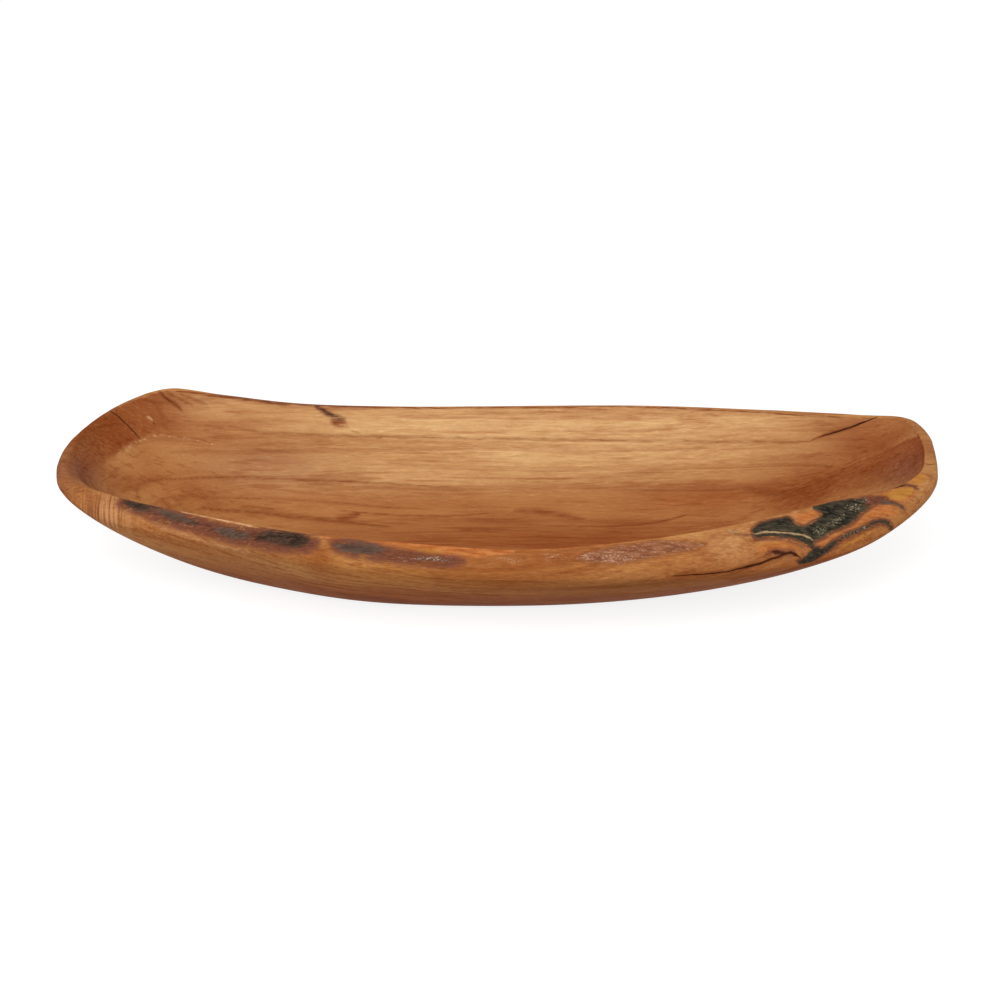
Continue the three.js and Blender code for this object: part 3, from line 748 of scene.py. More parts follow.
OUTER_TINTS = [
    ("amber", (60, -90, 50), (110, 22, 10), 0.5),
    ("rust", (6, -92, 46), (38, 20, 11), 0.95),
    ("umber", (4, -92, 47), (30, 20, 9), 0.6),
    ("amber", (108, -84, 46), (30, 20, 6), 0.7),
    ("umber", (58, -82, 33), (44, 20, 6), 0.7),
    ("gold", (-60, -94, 43), (120, 20, 10), 0.6),
    ("amber", (-170, -60, 44), (60, 30, 12), 0.6),
    # Straw on the hull's left: partly worn wood, partly painted sheen.
    ("straw", (-118, -78, 38), (34, 20, 6), 0.2),
    ("umber", (-132, -76, 44), (26, 20, 4), 0.7),
    ("mahogany", (-93, -84, 46), (10, 16, 10), 0.9),
    ("straw", (124, -78, 48), (20, 14, 6), 0.4),
    ("umber", (104, -82, 36), (50, 16, 7), 0.5),
    # Rust and umber round the bottom of the hull: painted shade, darker towards the bottom.
    ("rust", (0, -60, 12), (300, 70, 18), 0.95),
    ("umber", (0, 60, 12), (300, 60, 20), 0.95),
    ("rust", (160, -66, 32), (70, 30, 11), 0.9),
    ("mahogany", (198, -44, 35), (34, 16, 8), 0.6),
    ("amber", (130, -84, 44), (50, 20, 8), 0.5),
    ("amber", (214, -40, 50), (30, 30, 14), 0.5),
    ("rust", (236, 40, 64), (14, 40, 8), 0.2),
    ("amber", (-228, -26, 50), (30, 30, 14), 0.7),
    ("mauve", (-242, 0, 58), (16, 24, 10), 0.7),
    # Mahogany over the lip of the left tip: partly the end wall's darker wood, partly painted shade over
    # where the lip catches light.
    ("mahogany", (-236, 50, 66), (26, 42, 12), 1.0),
]

# The end grain at the left tip: its centre and radii in mm.
END_GRAIN = ((-217, -37, 50), (17, 16, 9))

# What is known of points of the skin. Side is 1 at the front and -1 at the back, and below is
# the distance under the crest, or less than 0 in the hollow.
Skin = namedtuple("Skin", "points normals runs side below")
VALUE_NAMES = ("run", "side", "below")


def close_to(points, shape, margin):
    """Which points lie within a margin of the box round a shape."""
    low = shape.min(axis=0) - margin
    high = shape.max(axis=0) + margin
    return np.all((points > low) & (points < high), axis=1)


def patch_depth(patch, spots):
    """How far spots of the skin, as run and distance below the crest, are inside a patch."""
    depth = np.full(len(spots), -1.0)
    close = close_to(spots, patch.loop, PATCH_REACH)
    depth[close] = inside_depth(spots[close], patch.loop)
    return depth


def on_side(skin, patch):
    return (skin.side > 0) == (patch.side == "front")


def ragged(spots, size, amount, seed):
    """Spots of the skin moved by noise, more along the grain, so that edges are uneven."""
    flat = np.column_stack((spots / np.array((size, 0.3 * size)), np.zeros(len(spots))))
    moved = spots.copy()
    moved[:, 0] += 2 * amount * lattice_noise(flat, 1.0, seed, layers=2)
    moved[:, 1] += amount * lattice_noise(flat, 1.0, seed + 50, layers=2)
    return moved


def waves(points, size, depth, seed):
    return depth * (0.5 + 0.5 * lattice_noise(points, size, seed, layers=2))


def unevenness(points, below):
    """Hand-tool waves of the skin, inwards only, in metres. The foot stays flat."""
    on_lip = smooth(below, 0.5 * MM, 3 * MM) * (1 - smooth(below, 14 * MM, 24 * MM))
    total = waves(points, *TOOL_WAVES) + on_lip * waves(points, *LIP_WAVES)
    return -total * smooth(points[:, 2], 0.6 * MM, 6 * MM)


def linked(name, data):
    """A new object of the scene with this mesh, camera or lamp."""
    made = bpy.data.objects.new(name, data)
    bpy.context.scene.collection.objects.link(made)
    return made


def mesh_object(name, points, faces):
    """A smooth-shaded object of this mesh, at rest on the root."""
    mesh = bpy.data.meshes.new(name)
    mesh.from_pydata([tuple(point) for point in points], [], faces)
    mesh.validate()
    mesh.shade_smooth()
    made = linked(name, mesh)
    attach(made, "root")
    return made


def add_values(made, name, values):
    """A number for each vertex, for the material to read."""
    layer = made.data.attributes.new(name, "FLOAT", "POINT")
    layer.data.foreach_set("value", np.asarray(values, dtype=np.float32))


def add_colours(made, name, colours):
    """A colour for each vertex, for the material to read."""
    layer = made.data.attributes.new(name, "FLOAT_COLOR", "POINT")
    full = np.column_stack((colours, np.ones(len(colours))))
    layer.data.foreach_set("color", full.astype(np.float32).ravel())


def on_surface(corners, points, normals):
    """A smooth line through these points in mm, moved along the normals on to the surface."""
    line = curve_through(np.array(corners) * MM)
    for index, spot in enumerate(line):
        nearest = np.argmin(np.sum((points - spot) ** 2, axis=1))
        normal = normals[nearest]
        line[index] = spot - normal * ((spot - points[nearest]) @ normal)
    return line


def along_surface(skin, line, wander=0):
    """The distance from points to a line of the surface, and the share of the way along it."""
    distance = np.full(len(skin.points), 1.0)
    along = np.zeros(len(skin.points))
    close = close_to(skin.points, line, MARK_REACH)
    if not close.any():
        return distance, along
    points, normals = skin.points[close], skin.normals[close]
    moved = points.copy()
    for axis in range(3):
        moved[:, axis] += wander * lattice_noise(points, 5 * MM, 70 + axis, layers=2)
    _, offset, along[close] = to_line(moved, line)
    lift = np.sum(offset * normals, axis=1)
    flat = np.linalg.norm(offset - lift[:, None] * normals, axis=1)
    distance[close] = np.hypot(flat, np.maximum(np.abs(lift) - 0.5 * MM, 0))
    return distance, along


def tapered(along, rate):
    """1 along a line, falling to 0 at both its ends."""
    return np.clip(np.minimum(along, 1 - along) * rate, 0, 1)


def crack_depth(skin):
    """How deep each point lies in a crack, in metres."""
    deep = np.zeros(len(skin.points))
    for (_, half, depth, _, _), line in zip(MARKS, MARK_LINES):
        if depth:
            distance, along = along_surface(skin, line, WANDER)
            taper = np.sqrt(tapered(along, 4))
            share = np.clip(1 - distance / (1.6 * half * MM * (0.35 + 0.65 * taper)), 0, 1)
            deep = np.maximum(deep, share * (skin.below < HOLLOW_TOP) * depth * MM * taper)
    return deep


def all_patches(skin):
    """How far each point is inside the nearest patch of its side, and that patch's depth."""
    spots = ragged(np.column_stack((skin.runs, skin.below)), *PATCH_RAG)
    depth = np.full(len(spots), -1.0)
    reach = np.zeros(len(spots))
    for patch in PATCHES.values():
        found = np.where(on_side(skin, patch), patch_depth(patch, spots), -1.0)
        better = found > depth
        depth[better] = found[better]
        reach[better] = BARKS[patch.slot].depth
    return depth, reach


def blob(points, centre_mm, radii_mm):
    """1 at a centre, fading over these radii along X, Y and Z."""
    gap = (points - np.array(centre_mm) * MM) / (np.array(radii_mm) * MM)
    return np.exp(-np.sum(gap * gap, axis=1))


def stain_and_light_shares(skin):
    """How strongly each stain, painted highlight and painted shade lies on each point, 0.5 at a drawn
    edge.
    """
    shares = {stain_or_light: np.zeros(len(skin.points)) for stain_or_light in STAINS_AND_LIGHT}

    def lay(stain_or_light, where, values):
        shares[stain_or_light][where] = np.maximum(shares[stain_or_light][where], np.clip(values, 0, 1))

    spots = ragged(np.column_stack((skin.runs, skin.below)), 5 * MM, WANDER, 47)
    for patch in PATCHES.values():
        close = on_side(skin, patch) & close_to(spots, patch.loop, PATCH_REACH)
        depth = inside_depth(spots[close], patch.loop)
        stain_or_light, width, strength = patch.margin
        lay(stain_or_light, close, strength * (1 - np.abs(depth) / (2 * width * MM)))
    front = (skin.side > 0) & (skin.below > -2 * MM)
    for stain_or_light, softness, strength, outline in AREAS:
        close = front & close_to(spots, outline, LINE_REACH)
        lay(stain_or_light, close, strength * (0.5 + inside_depth(spots[close], outline) / softness))
    back = (skin.side < 0) & (skin.below > -3 * MM)
    for side, here in (("front", front), ("back", back)):
        for stain_or_light, half, strength, line in LINES[side]:
            close = here & close_to(spots, line, LINE_REACH)
            distance, _, along = to_line(spots[close], line)
            width = 2 * half * (0.3 + 0.7 * tapered(along, 8))
            lay(stain_or_light, close, strength * (1 - distance / width))
    hollow = skin.below < HOLLOW_TOP
    for (stain_or_light, half, _, strength, _), line in zip(MARKS, MARK_LINES):
        distance, along = along_surface(skin, line, WANDER)
        width = 2 * half * MM * (0.3 + 0.7 * np.sqrt(tapered(along, 4)))
        lay(stain_or_light, hollow, (strength * (1 - distance / width))[hollow])
    return shares


def paint(made, skin):
    """Puts the wood's tones, stains and painted light and shade on a mesh, for its material to read."""
    points = skin.points
    in_hollow = skin.below < 0.5 * MM
    weights = np.full(len(points), 1e-6)
    colours = np.zeros((len(points), 3))
    left = np.ones(len(points))
    for here, group in ((in_hollow, HOLLOW_TINTS), (~in_hollow, OUTER_TINTS)):
        for tone, centre, radii, strength, *facet in group:
            share = strength * blob(points, centre, radii) * here
            for name in facet:
                outline = np.array(FACETS[name]) * MM
                share *= smooth(inside_depth(points[:, :2], outline), -1.5 * MM, 1.5 * MM)
            weights += share
            colours += share[:, None] * np.array(linear(*TONES[tone]))[:3]
            left *= 1 - share
    add_colours(made, "tint", colours / weights[:, None])
    add_values(made, "tint_share", 1 - left)
    add_values(made, "end_grain", ~in_hollow * blob(points, *END_GRAIN))
    for stain_or_light, values in stain_and_light_shares(skin).items():
        if values.any():
            add_values(made, stain_or_light, values)


def bridge(lower, upper):
    """Quads between two rings of equal count, or triangles where the upper has half."""
    count = len(lower)
    if len(upper) == count:
        ahead = np.roll(np.arange(count), -1)
        return [
            (lower[i], lower[j], upper[j], upper[i]) for i, j in zip(range(count), ahead)
        ]
    faces = []
    for i in range(len(upper)):
        j = (i + 1) % len(upper)
        a, b, c = lower[2 * i], lower[2 * i + 1], lower[(2 * i + 2) % count]
        faces += [(a, b, upper[i]), (b, upper[j], upper[i]), (b, c, upper[j])]
    return faces


def disc(points, values, ring, size, faces, inward):
    """Closes a ring with smaller and smaller rings of fewer points, and a middle point."""
    start = np.array([points[index] for index in ring])
    middle = np.array((size["x"], size["y"], size["height"]))
    lower = ring
    for share in DISC_SHARES:
        start = start[::2] if share < DISC_SHARES[0] else start
        ring_points = middle + (start - middle) * share
        upper = list(range(len(points), len(points) + len(ring_points)))
        points.extend(ring_points)
        values.extend([values[lower[0]]] * len(ring_points))
        strip = bridge(lower, upper)
        faces += [face[::-1] for face in strip] if inward else strip
        lower = upper
    points.append(middle)
    values.append(values[lower[0]])
    last = len(points) - 1
    for i in range(len(lower)):
        face = (lower[i], lower[(i + 1) % len(lower)], last)
        faces.append(face[::-1] if inward else face)


def bowl_mesh():
    """The bowl's points and faces, with each point's run along the rim, side and depth."""
    turns = np.arange(STATION_COUNT) / STATION_COUNT
    outer = outer_skin(turns, HULL_RINGS, FINE_RINGS, FINE_RINGS)
    rim = outer[HULL_RINGS:]
    rim = rings_at(rim, run_along(rim)[-1] * steps(RIM_RINGS)[1:, None])
    outer = np.concatenate((outer[:HULL_RINGS + 1], rim))
    rings = np.concatenate((outer, inner_skin(turns)))
    down = run_along(rings)
    down = down[len(outer) - 1] - down + rim_at(turns)["outside_round"]
    front = (turns > LEFT_END) | (turns < RIGHT_END - 1)
    front_turns = np.where(turns < LEFT_END, turns + 1, turns)
    front_places, front_run, _ = SIDES["front"]
    back_places, back_run, _ = SIDES["back"]
    runs = np.where(
        front,
        np.interp(front_turns, front_places, front_run),
        np.interp(turns, back_places[::-1], back_run[::-1]),
    )
    sides = np.where(front, 1.0, -1.0)
    points = list(rings.reshape(-1, 3))
    values = [value for row in down for value in zip(runs, sides, row)]
    rows = np.arange(len(points)).reshape(-1, STATION_COUNT).tolist()
    faces = []
    for lower, upper in zip(rows, rows[1:]):
        faces += bridge(lower, upper)
    disc(points, values, rows[0], FOOT, faces, True)
    disc(points, values, rows[-1], FLOOR, faces, False)
    return np.array(points), faces, np.array(values)


def refine(mesh, near):
    """Halves the cells whose corners are all near something fine, by a test on each point."""
    work = bmesh.new()
    work.from_mesh(mesh)
    work.verts.ensure_lookup_table()
    chosen = [
        edge for edge in work.edges if near[edge.verts[0].index] and near[edge.verts[1].index]
    ]
    bmesh.ops.subdivide_edges(work, edges=chosen, cuts=1, use_grid_fill=True)
    work.to_mesh(mesh)
    work.free()


def skin_of(mesh):
    """What is known of the points of the bowl's mesh."""
    count = len(mesh.vertices)
    points = np.empty(3 * count)
    mesh.vertices.foreach_get("co", points)
    normals = np.empty(3 * count, dtype=np.float32)
    mesh.vertex_normals.foreach_get("vector", normals)
    values = np.empty((3, count), dtype=np.float32)
    for row, name in zip(values, VALUE_NAMES):
        mesh.attributes[name].data.foreach_get("value", row)
    return Skin(points.reshape(-1, 3), normals.reshape(-1, 3).astype(float), *values.astype(float))


def near_detail(skin, reach, soft_too):
    """Which points lie within a reach of a sharp crack or line.

    With soft_too, also those near lines that fade softly and near a patch's edge.
    """
    near = np.zeros(len(skin.points), bool)
    for (stain_or_light, half, *_), line in zip(MARKS, MARK_LINES):
        if half < 1.5 and (soft_too or STAINS_AND_LIGHT[stain_or_light][2] != "soft"):
            distance, _ = along_surface(skin, line)
            near |= (distance < reach) & (skin.below < 3 * MM)
    front = (skin.side > 0) & (skin.below > 0)
    spots = np.column_stack((skin.runs, skin.below))
    for stain_or_light, _, _, line in LINES["front"]:
        if soft_too or STAINS_AND_LIGHT[stain_or_light][2] != "soft":
            close = front & close_to(spots, line, LINE_REACH)
            near[close] |= to_line(spots[close], line)[0] < reach
    if soft_too:
        near |= np.abs(all_patches(skin)[0]) < RECESS_OVER[1]
    return near


def make_bowl():
    """The carved body, with recesses under the bark, cracks, and values for its material."""
    points, faces, values = bowl_mesh()
    made = mesh_object("bowl", points, faces)
    mesh = made.data
    for name, column in zip(VALUE_NAMES, values.T):
        add_values(made, name, column)
    skin = skin_of(mesh)
    hollow = skin.below < HOLLOW_TOP
    for mark in MARKS:
        MARK_LINES.append(on_surface(mark[4], skin.points[hollow], skin.normals[hollow]))
    for reach, soft_too in REFINEMENTS:
        refine(mesh, near_detail(skin_of(mesh), reach, soft_too))
    skin = skin_of(mesh)
    hollow = skin.below < 0
    shift = unevenness(skin.points, skin.below)
    for corners in (LEFT_CREASE, RIGHT_CREASE):
        line = on_surface(corners, skin.points[hollow], skin.normals[hollow])
        distance, _ = along_surface(skin, line)
        shift -= CREASE_DEPTH * np.exp(-distance / CREASE_WIDTH) * hollow
    depth, reach = all_patches(skin)
    shift -= (reach - RECESS_BITE) * smooth(depth, *RECESS_OVER)
    shift -= crack_depth(skin)
    shift += LUMP_HEIGHT * blob(skin.points, *LUMP) * hollow
    mesh.vertices.foreach_set("co", (skin.points + skin.normals * shift[:, None]).ravel())
    mesh.update()
    paint(made, skin)
    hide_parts("bowl_body")
    return made


def make_patch(name):
    """One piece of bark or knot: a closed shell with a ragged edge that dips into the wood."""
    patch = PATCHES[name]
    bark = BARKS[patch.slot]
    low = patch.loop.min(axis=0) - 2 * MM
    high = patch.loop.max(axis=0) + 2 * MM
    low[1] = max(low[1], CREST_ROUND)
    counts = np.ceil((high - low) / BARK_CELL).astype(int)
    runs = np.linspace(low[0], high[0], counts[0] + 1)
    belows = np.linspace(low[1], high[1], counts[1] + 1)
    points, normals = skin_grid(patch.side, runs, belows)
    rows, columns = points.shape[:2]
    points, normals = points.reshape(-1, 3), normals.reshape(-1, 3)
    spots = np.stack(np.meshgrid(runs, belows), axis=2).reshape(-1, 2)
    depth = patch_depth(patch, ragged(spots, *PATCH_RAG))
    depth = 0.5 * (depth + patch_depth(patch, ragged(spots, 2 * MM, 0.3 * MM, 41)))
    scales = lattice_noise(points, (4 * MM, 1.2 * MM, 1.2 * MM), 61, layers=3)
    raised = smooth(depth, *BARK_RISE_OVER)
    base = unevenness(points, spots[:, 1])
    height = base - BARK_SUNK + raised * (BARK_RISE + bark.roughness * (0.5 + 0.5 * scales))
    top = points + normals * height[:, None]
    bottom = points + normals * (base - bark.depth)[:, None]
    wanted = (depth > BARK_END).reshape(rows, columns)
    cells = wanted[:-1, :-1] & wanted[1:, :-1] & wanted[:-1, 1:] & wanted[1:, 1:]
    faces, used = shell_faces(cells, columns, rows * columns)
    if patch.side == "back":
        faces = [face[::-1] for face in faces]
    new_index = {old: new for new, old in enumerate(used)}
    faces = [tuple(new_index[index] for index in face) for face in faces]
    made = mesh_object(name, np.concatenate((top, bottom))[used], faces)
    first = np.array(used) % (rows * columns)
    run, below = spots[first].T
    add_values(made, "depth", depth[first])
    add_values(made, "below", below)
    side = np.full(len(first), 1.0 if patch.side == "front" else -1.0)
    paint(made, Skin(points[first], normals[first], run, side, below))
    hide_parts(name)
    return made


def shell_faces(cells, columns, bottom):
    """Faces of a closed shell over the wanted cells of a grid, and the points in use."""
    faces = []
    rows, width = cells.shape
    for i, j in zip(*np.nonzero(cells)):
        a = i * columns + j
        b, c, d = a + 1, a + 1 + columns, a + columns
        faces.append((a, d, c, b))
        faces.append(tuple(bottom + index for index in (a, b, c, d)))
        for di, dj, p, q in ((-1, 0, a, b), (0, 1, b, c), (1, 0, c, d), (0, -1, d, a)):
            ni, nj = i + di, j + dj
            if not (0 <= ni < rows and 0 <= nj < width and cells[ni, nj]):
                faces.append((p, q, bottom + q, bottom + p))
    used = sorted({index for face in faces for index in face})
    return faces, used


# The noises that the wood's colours share: how often each comes per metre, its detail and its
# roughness. Those of the log run along it, out from its heart and round it.
LOG_NOISES = {
    "bands": ((2.6, 80, 1.6), 3, 0.55),
    "rings": ((9, 600, 12), 4, 0.65),
    "lines": ((2.2, 260, 4), 1, 0.5),
}
PLAIN_NOISES = {
    "strands": ((14, 270, 270), 2, 0.6),
    "streaks": ((64, 640, 640), 4, 0.65),
    "flakes": ((120, 700, 700), 3, 0.6),
    "fibres": ((150, 1700, 1700), 2, 0.6),
    "clouds": ((22, 60, 60), 4, 0.5),
    "specks": ((420, 1000, 1000), 3, 0.65),
    "flecks": ((170, 800, 800), 1, 0.5),
    "dust": ((800, 1700, 1700), 2, 0.6),
    "strokes": ((700, 30, 30), 1, 0.5),
}

# How far the log's coordinates are warped, and how often per metre.
WARP_SIZE = (0, 0.014, 0.014)
WARP_PER_METRE = (5, 16, 16)

# How much each noise changes the tone of the wood. The fine ones fade out at the crest.
BROAD_CHANGES = {"bands": 0.22, "clouds": 0.24}
FINE_CHANGES = {"rings": 0.32, "streaks": 0.32, "flakes": 0.16, "specks": 0.16}

# What the wood's colour is multiplied by, from its darkest tone to its palest.
GRAIN_RAMP = [
    (0.12, (0.52, 0.38, 0.34)),
    (0.33, (0.78, 0.67, 0.62)),
    (0.5, (1.0, 1.0, 1.0)),
    (0.68, (1.12, 1.22, 1.26)),
    (0.9, (1.22, 1.42, 1.5)),
]

# Figures in the grain: the noise's values between which each comes in, its strength, and what
# it multiplies the colour by.
FIGURES = {
    "lines": (0.6, 0.64, 0.28, (0.62, 0.42, 0.36, 1)),
    "strands": (0.56, 0.65, 0.5, (0.72, 0.54, 0.48, 1)),
    "flecks": (0.64, 0.74, 0.35, (1.3, 1.5, 1.7, 1)),
}

# The dark and pale strokes of the end grain, as colours on screen.
END_DARK = (142, 86, 52)
END_PALE = (202, 148, 106)

# The camera of the main view, looking along +Y from 25 degrees above: place, tilt and lens.
CAMERA_PLACE = (0, -1.1079, 0.5603)
CAMERA_TILT = math.radians(65)
CAMERA_LENS = 78.75
SENSOR_WIDTH = 36

# The stage: half its width, its height, the grey that throws light back at the bowl, and the
# grey and glow that show as white.
STAGE_HALF = 12.0
STAGE_LEVEL = -0.1 * MM
STAGE_GREY = (0.6, 0.6, 0.6, 1)
STAGE_SEEN = (0.32, 0.32, 0.32, 1)
STAGE_GLOW = 0.84
WHITE = (1, 1, 1, 1)
FILL_LIGHT = 0.5

# The lamp's place and size in metres, and its power in watts.
LAMP_PLACE = (-0.4, -1.35, 1.35)
LAMP_SIZE = 1.6
LAMP_POWER = 22


class Shader:
    """The node tree of a material or the world, with short calls that add to it."""

    def __init__(self, owner):
        owner.use_nodes = True
        self.owner = owner
        self.tree = owner.node_tree
        self.tree.nodes.clear()

    def node(self, kind, inputs, **settings):
        """A new node, whose inputs are values or the results of other nodes."""
        node = self.tree.nodes.new(kind)
        for key, value in settings.items():
            setattr(node, key, value)
        for key, value in inputs.items():
            if isinstance(value, bpy.types.NodeSocket):
                self.tree.links.new(value, node.inputs[key])
            else:
                node.inputs[key].default_value = value
        return node

    def add(self, kind, inputs, result=0, **settings):
        """One result of a new node."""
        return self.node(kind, inputs, **settings).outputs[result]

    def math(self, operation, a, b=0.0, clamp=False):
        return self.add("ShaderNodeMath", {0: a, 1: b}, operation=operation, use_clamp=clamp)

    def vector(self, operation, a, b):
        return self.add("ShaderNodeVectorMath", {0: a, 1: b}, operation=operation)

    def product(self, a, b, clamp=False):
        return self.math("MULTIPLY", a, b, clamp)

    def sum(self, total, *terms):
        for term in terms:
            total = self.math("ADD", total, term)
        return total

    def swing(self, noise, amount):
        """Noise as a change to both sides of 0, by about this amount at its strongest."""
        return self.product(self.math("SUBTRACT", noise, 0.5), 2 * amount)

    def swings(self, noises, amounts):
        return [self.swing(noises[name], amount) for name, amount in amounts.items()]

    def between(self, value, low, high, start=0.0, end=1.0):
        inputs = {0: value, 1: low, 2: high, 3: start, 4: end}
        return self.add("ShaderNodeMapRange", inputs, interpolation_type="SMOOTHSTEP")

    def value(self, name, result="Fac"):
        return self.add("ShaderNodeAttribute", {}, result, attribute_name=name)

    def noise(self, vector, per_metre, detail=2.0, roughness=0.5, result="Fac"):
        return self.add("ShaderNodeTexNoise", {
            "Vector": self.vector("MULTIPLY", vector, per_metre), "Scale": 1.0,
            "Detail": detail, "Roughness": roughness,
        }, result)

    def mix(self, share, a, b, blend="MIX"):
        inputs = {0: share, 6: a, 7: b}
        return self.add("ShaderNodeMix", inputs, 2, data_type="RGBA", blend_type=blend)

    def ramp(self, share, stops):
        node = self.node("ShaderNodeValToRGB", {0: share})
        elements = node.color_ramp.elements
        while len(elements) < len(stops):
            elements.new(0.5)
        for element, (position, colour) in zip(elements, stops):
            element.position = position
            element.color = (*colour, 1.0)
        return node.outputs["Color"]

    def matter(self, colour, roughness, height, strength, distance):
        """Finishes a surface of this colour, with bumps where the height says."""
        bump = {"Height": height, "Strength": strength, "Distance": distance}
        surface = self.add("ShaderNodeBsdfPrincipled", {
            "Base Color": colour, "Roughness": roughness, "Specular IOR Level": SHEEN,
            "Normal": self.add("ShaderNodeBump", bump),
        })
        return self.finish(surface)

    def finish(self, surface, kind="ShaderNodeOutputMaterial"):
        self.node(kind, {"Surface": surface})
        return self.owner


def ring_place(shader, place):
    """Coordinates in the log: along it, out from its heart, and round it."""
    warp = shader.noise(place, WARP_PER_METRE, result="Color")
    shift = shader.vector("MULTIPLY", shader.vector("SUBTRACT", warp, (0.5, 0.5, 0.5)), WARP_SIZE)
    x, y, z = shader.node("ShaderNodeSeparateXYZ", {0: shader.vector("ADD", place, shift)}).outputs
    y = shader.math("SUBTRACT", y, HEART_Y)
    z = shader.math("SUBTRACT", z, HEART_Z)
    radius = shader.math("SQRT", shader.sum(shader.product(y, y), shader.product(z, z)))
    return shader.add("ShaderNodeCombineXYZ", {0: x, 1: radius, 2: shader.math("ARCTAN2", y, z)})


def grain(shader):
    """The noises of the wood, by name."""
    place = shader.add("ShaderNodeTexCoord", {}, "Object")
    spaces = ((ring_place(shader, place), LOG_NOISES), (place, PLAIN_NOISES))
    return {
        name: shader.noise(space, *values)
        for space, group in spaces for name, values in group.items()
    }


def wood_colour(shader, noises):
    """The colour of the oiled wood and its tones, painted light and shade among them, without its stains.
    """
    patchy = shader.sum(1.0, shader.swing(noises["streaks"], 0.9))
    share = shader.product(shader.value("tint_share"), patchy, clamp=True)
    colour = shader.mix(share, linear(*TONES["honey"]), shader.value("tint", "Color"))
    strength = shader.between(shader.value("below"), 0, 3 * MM, 0.5, 1.0)
    fine = shader.sum(*shader.swings(noises, FINE_CHANGES))
    tone = shader.sum(0.5, *shader.swings(noises, BROAD_CHANGES), shader.product(fine, strength))
    colour = shader.mix(1.0, colour, shader.ramp(tone, GRAIN_RAMP), blend="MULTIPLY")
    for name, (low, high, most, factor) in FIGURES.items():
        figure = shader.between(noises[name], low, high, 0, most)
        colour = shader.mix(figure, colour, factor, blend="MULTIPLY")
    shade = shader.sum(1.0, shader.product(shader.swing(noises["fibres"], 0.45), strength))
    shade = shader.add("ShaderNodeCombineXYZ", {0: shade, 1: shade, 2: shade})
    colour = shader.mix(1.0, colour, shade, blend="MULTIPLY")
    on_end = shader.value("end_grain")
    for high, tone in ((0.4, END_DARK), (0.6, END_PALE)):
        stroke = shader.product(shader.between(noises["strokes"], 0.5, high), on_end)
        colour = shader.mix(stroke, colour, linear(*tone))
    return colour


def stained_and_lit(shader, colour, noises):
    """Lays the stains, painted highlights and painted shade on a colour, with ragged and streaky edges.
    """
    flakes, specks = noises["flakes"], noises["specks"]
    streaky = shader.sum(1.0, shader.swing(flakes, 1.3))
    mottled = shader.sum(shader.product(flakes, 0.7), shader.product(specks, 0.3))
    mottled = shader.between(mottled, 0.38, 0.64)
    for stain_or_light, (dark, light, kind) in STAINS_AND_LIGHT.items():
        value = shader.value(stain_or_light)
        if kind == "soft":
            share = shader.between(shader.product(value, streaky), 0.05, 1.0)
        else:
            by_flakes, by_specks, low, high = EDGES[kind]
            edge = shader.sum(
                value, shader.swing(flakes, by_flakes), shader.swing(specks, by_specks),
            )
            share = shader.product(shader.between(edge, low, high), shader.between(value, 0.02, 0.2))
        if kind == "dusty":
            share = shader.product(share, shader.between(noises["dust"], 0.5, 0.62))
        colour = shader.mix(share, colour, shader.mix(mottled, linear(*dark), linear(*light)))
    return colour


def wood_material():
    """Oiled wood with growth rings of the log, streaks, fine pores, tones and stains, with painted light
    and shade.
    """
    shader = Shader(bpy.data.materials.new("wood"))
    noises = grain(shader)
    colour = stained_and_lit(shader, wood_colour(shader, noises), noises)
    roughness = shader.between(noises["streaks"], 0.2, 0.8, 0.42, 0.58)
    return shader.matter(colour, roughness, noises["fibres"], 0.15, 0.2 * MM)


def bark_material(name, bark):
    """Worn bark or a knot between two colours, with pale flecks, fading into the wood."""
    shader = Shader(bpy.data.materials.new(name))
    noises = grain(shader)
    flakes, specks = noises["flakes"], noises["specks"]
    colour = shader.mix(
        shader.between(flakes, 0.34, 0.68), linear(*bark.dark), linear(*bark.light),
    )
    flecks = shader.between(specks, 0.52, 0.66, 0, bark.pale_share)
    colour = shader.mix(flecks, colour, linear(*bark.pale))
    edge = shader.sum(shader.value("depth"), shader.swing(flakes, 3.6 * MM))
    share = shader.between(edge, -0.6 * MM, 1.4 * MM)
    colour = stained_and_lit(shader, shader.mix(share, wood_colour(shader, noises), colour), noises)
    roughness = shader.between(specks, 0.3, 0.7, 0.55, 0.8)
    return shader.matter(colour, roughness, flakes, 0.35, 0.4 * MM)


def make_camera():
    camera = bpy.data.cameras.new("camera")
    camera.lens = CAMERA_LENS
    camera.sensor_width = SENSOR_WIDTH
    made = linked("camera", camera)
    made.location = CAMERA_PLACE
    made.rotation_euler = (CAMERA_TILT, 0, 0)
    bpy.context.scene.camera = made


def camera_share(shader):
    """1 for rays that show the background: from the camera, a gloss or through glass."""
    rays = shader.node("ShaderNodeLightPath", {}).outputs
    total = shader.math("MAXIMUM", rays["Is Camera Ray"], rays["Is Glossy Ray"])
    return shader.math("MAXIMUM", total, rays["Is Transmission Ray"])


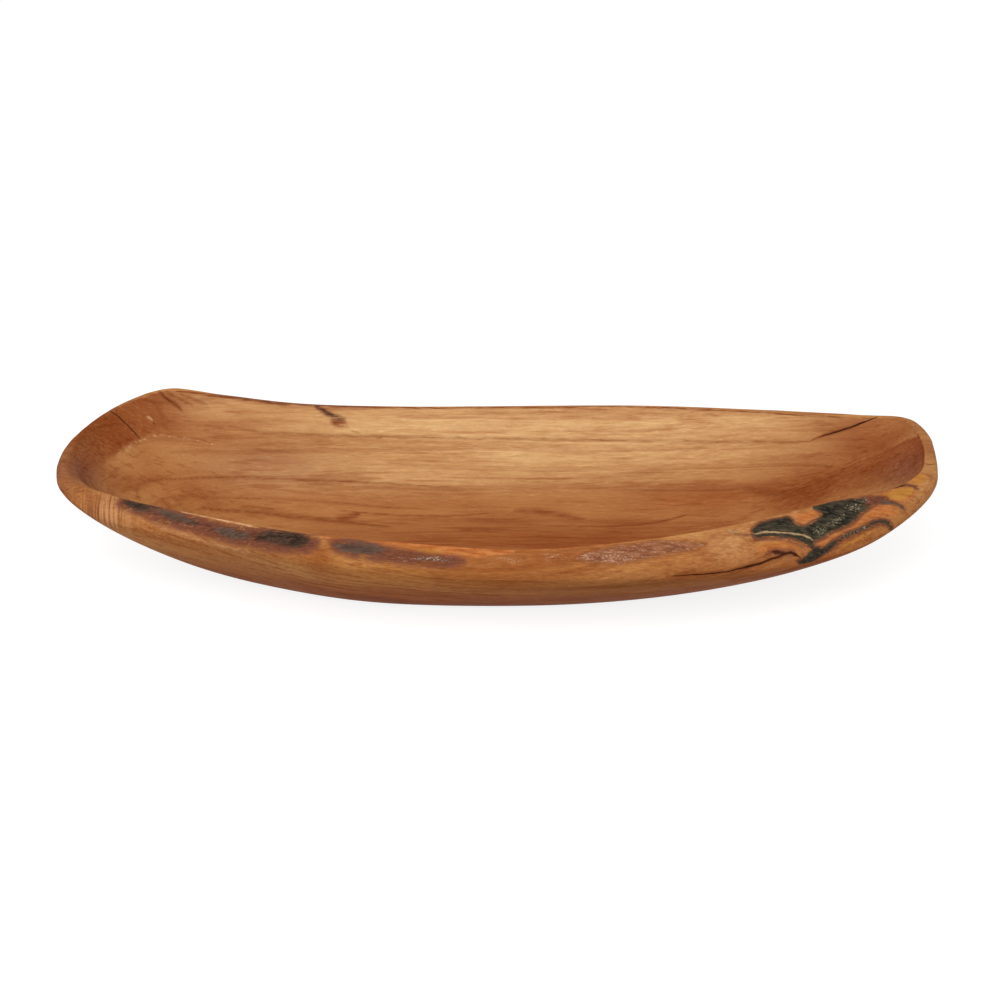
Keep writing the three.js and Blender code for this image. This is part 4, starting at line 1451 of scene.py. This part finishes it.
def make_floor():
    """A pale floor that shows white, with the bowl's soft shadow, and clear from below."""
    corners = [
        (x * STAGE_HALF, y * STAGE_HALF, STAGE_LEVEL)
        for x, y in ((-1, -1), (1, -1), (1, 1), (-1, 1))
    ]
    mesh = bpy.data.meshes.new("floor")
    mesh.from_pydata(corners, [], [(0, 1, 2, 3)])
    floor = linked("floor", mesh)
    shader = Shader(bpy.data.materials.new("floor"))
    plain = shader.add("ShaderNodeBsdfDiffuse", {"Color": STAGE_GREY})
    seen = shader.add("ShaderNodeBsdfDiffuse", {"Color": STAGE_SEEN})
    glow = shader.add("ShaderNodeEmission", {"Strength": STAGE_GLOW})
    seen = shader.add("ShaderNodeAddShader", {0: seen, 1: glow})
    top = shader.add("ShaderNodeMixShader", {0: camera_share(shader), 1: plain, 2: seen})
    under = shader.add("ShaderNodeNewGeometry", {}, "Backfacing")
    clear = shader.add("ShaderNodeBsdfTransparent", {})
    both = shader.add("ShaderNodeMixShader", {0: under, 1: top, 2: clear})
    mesh.materials.append(shader.finish(both))


def make_world():
    """Plain fill light from all round. The background itself is white."""
    world = bpy.data.worlds.new("world")
    bpy.context.scene.world = world
    shader = Shader(world)
    fill = shader.add("ShaderNodeBackground", {"Color": WHITE, "Strength": FILL_LIGHT})
    white = shader.add("ShaderNodeBackground", {"Color": WHITE})
    both = shader.add("ShaderNodeMixShader", {0: camera_share(shader), 1: fill, 2: white})
    shader.finish(both, "ShaderNodeOutputWorld")


def make_lamp():
    """A large square lamp that points at the bowl."""
    lamp = bpy.data.lights.new("key", "AREA")
    lamp.shape = "SQUARE"
    lamp.size = LAMP_SIZE
    lamp.energy = LAMP_POWER
    made = linked("key", lamp)
    made.location = LAMP_PLACE
    made.rotation_euler = (-made.location).to_track_quat("-Z", "Y").to_euler()


make_camera()
make_floor()
make_world()
make_lamp()

bowl = make_bowl()
bowl.data.materials.append(wood_material())
materials = {slot: bark_material(slot, bark) for slot, bark in BARKS.items()}
for patch_name, patch in PATCHES.items():
    piece = make_patch(patch_name)
    piece.data.materials.append(materials[patch.slot])

view = bpy.context.scene.view_settings
view.view_transform = "Standard"
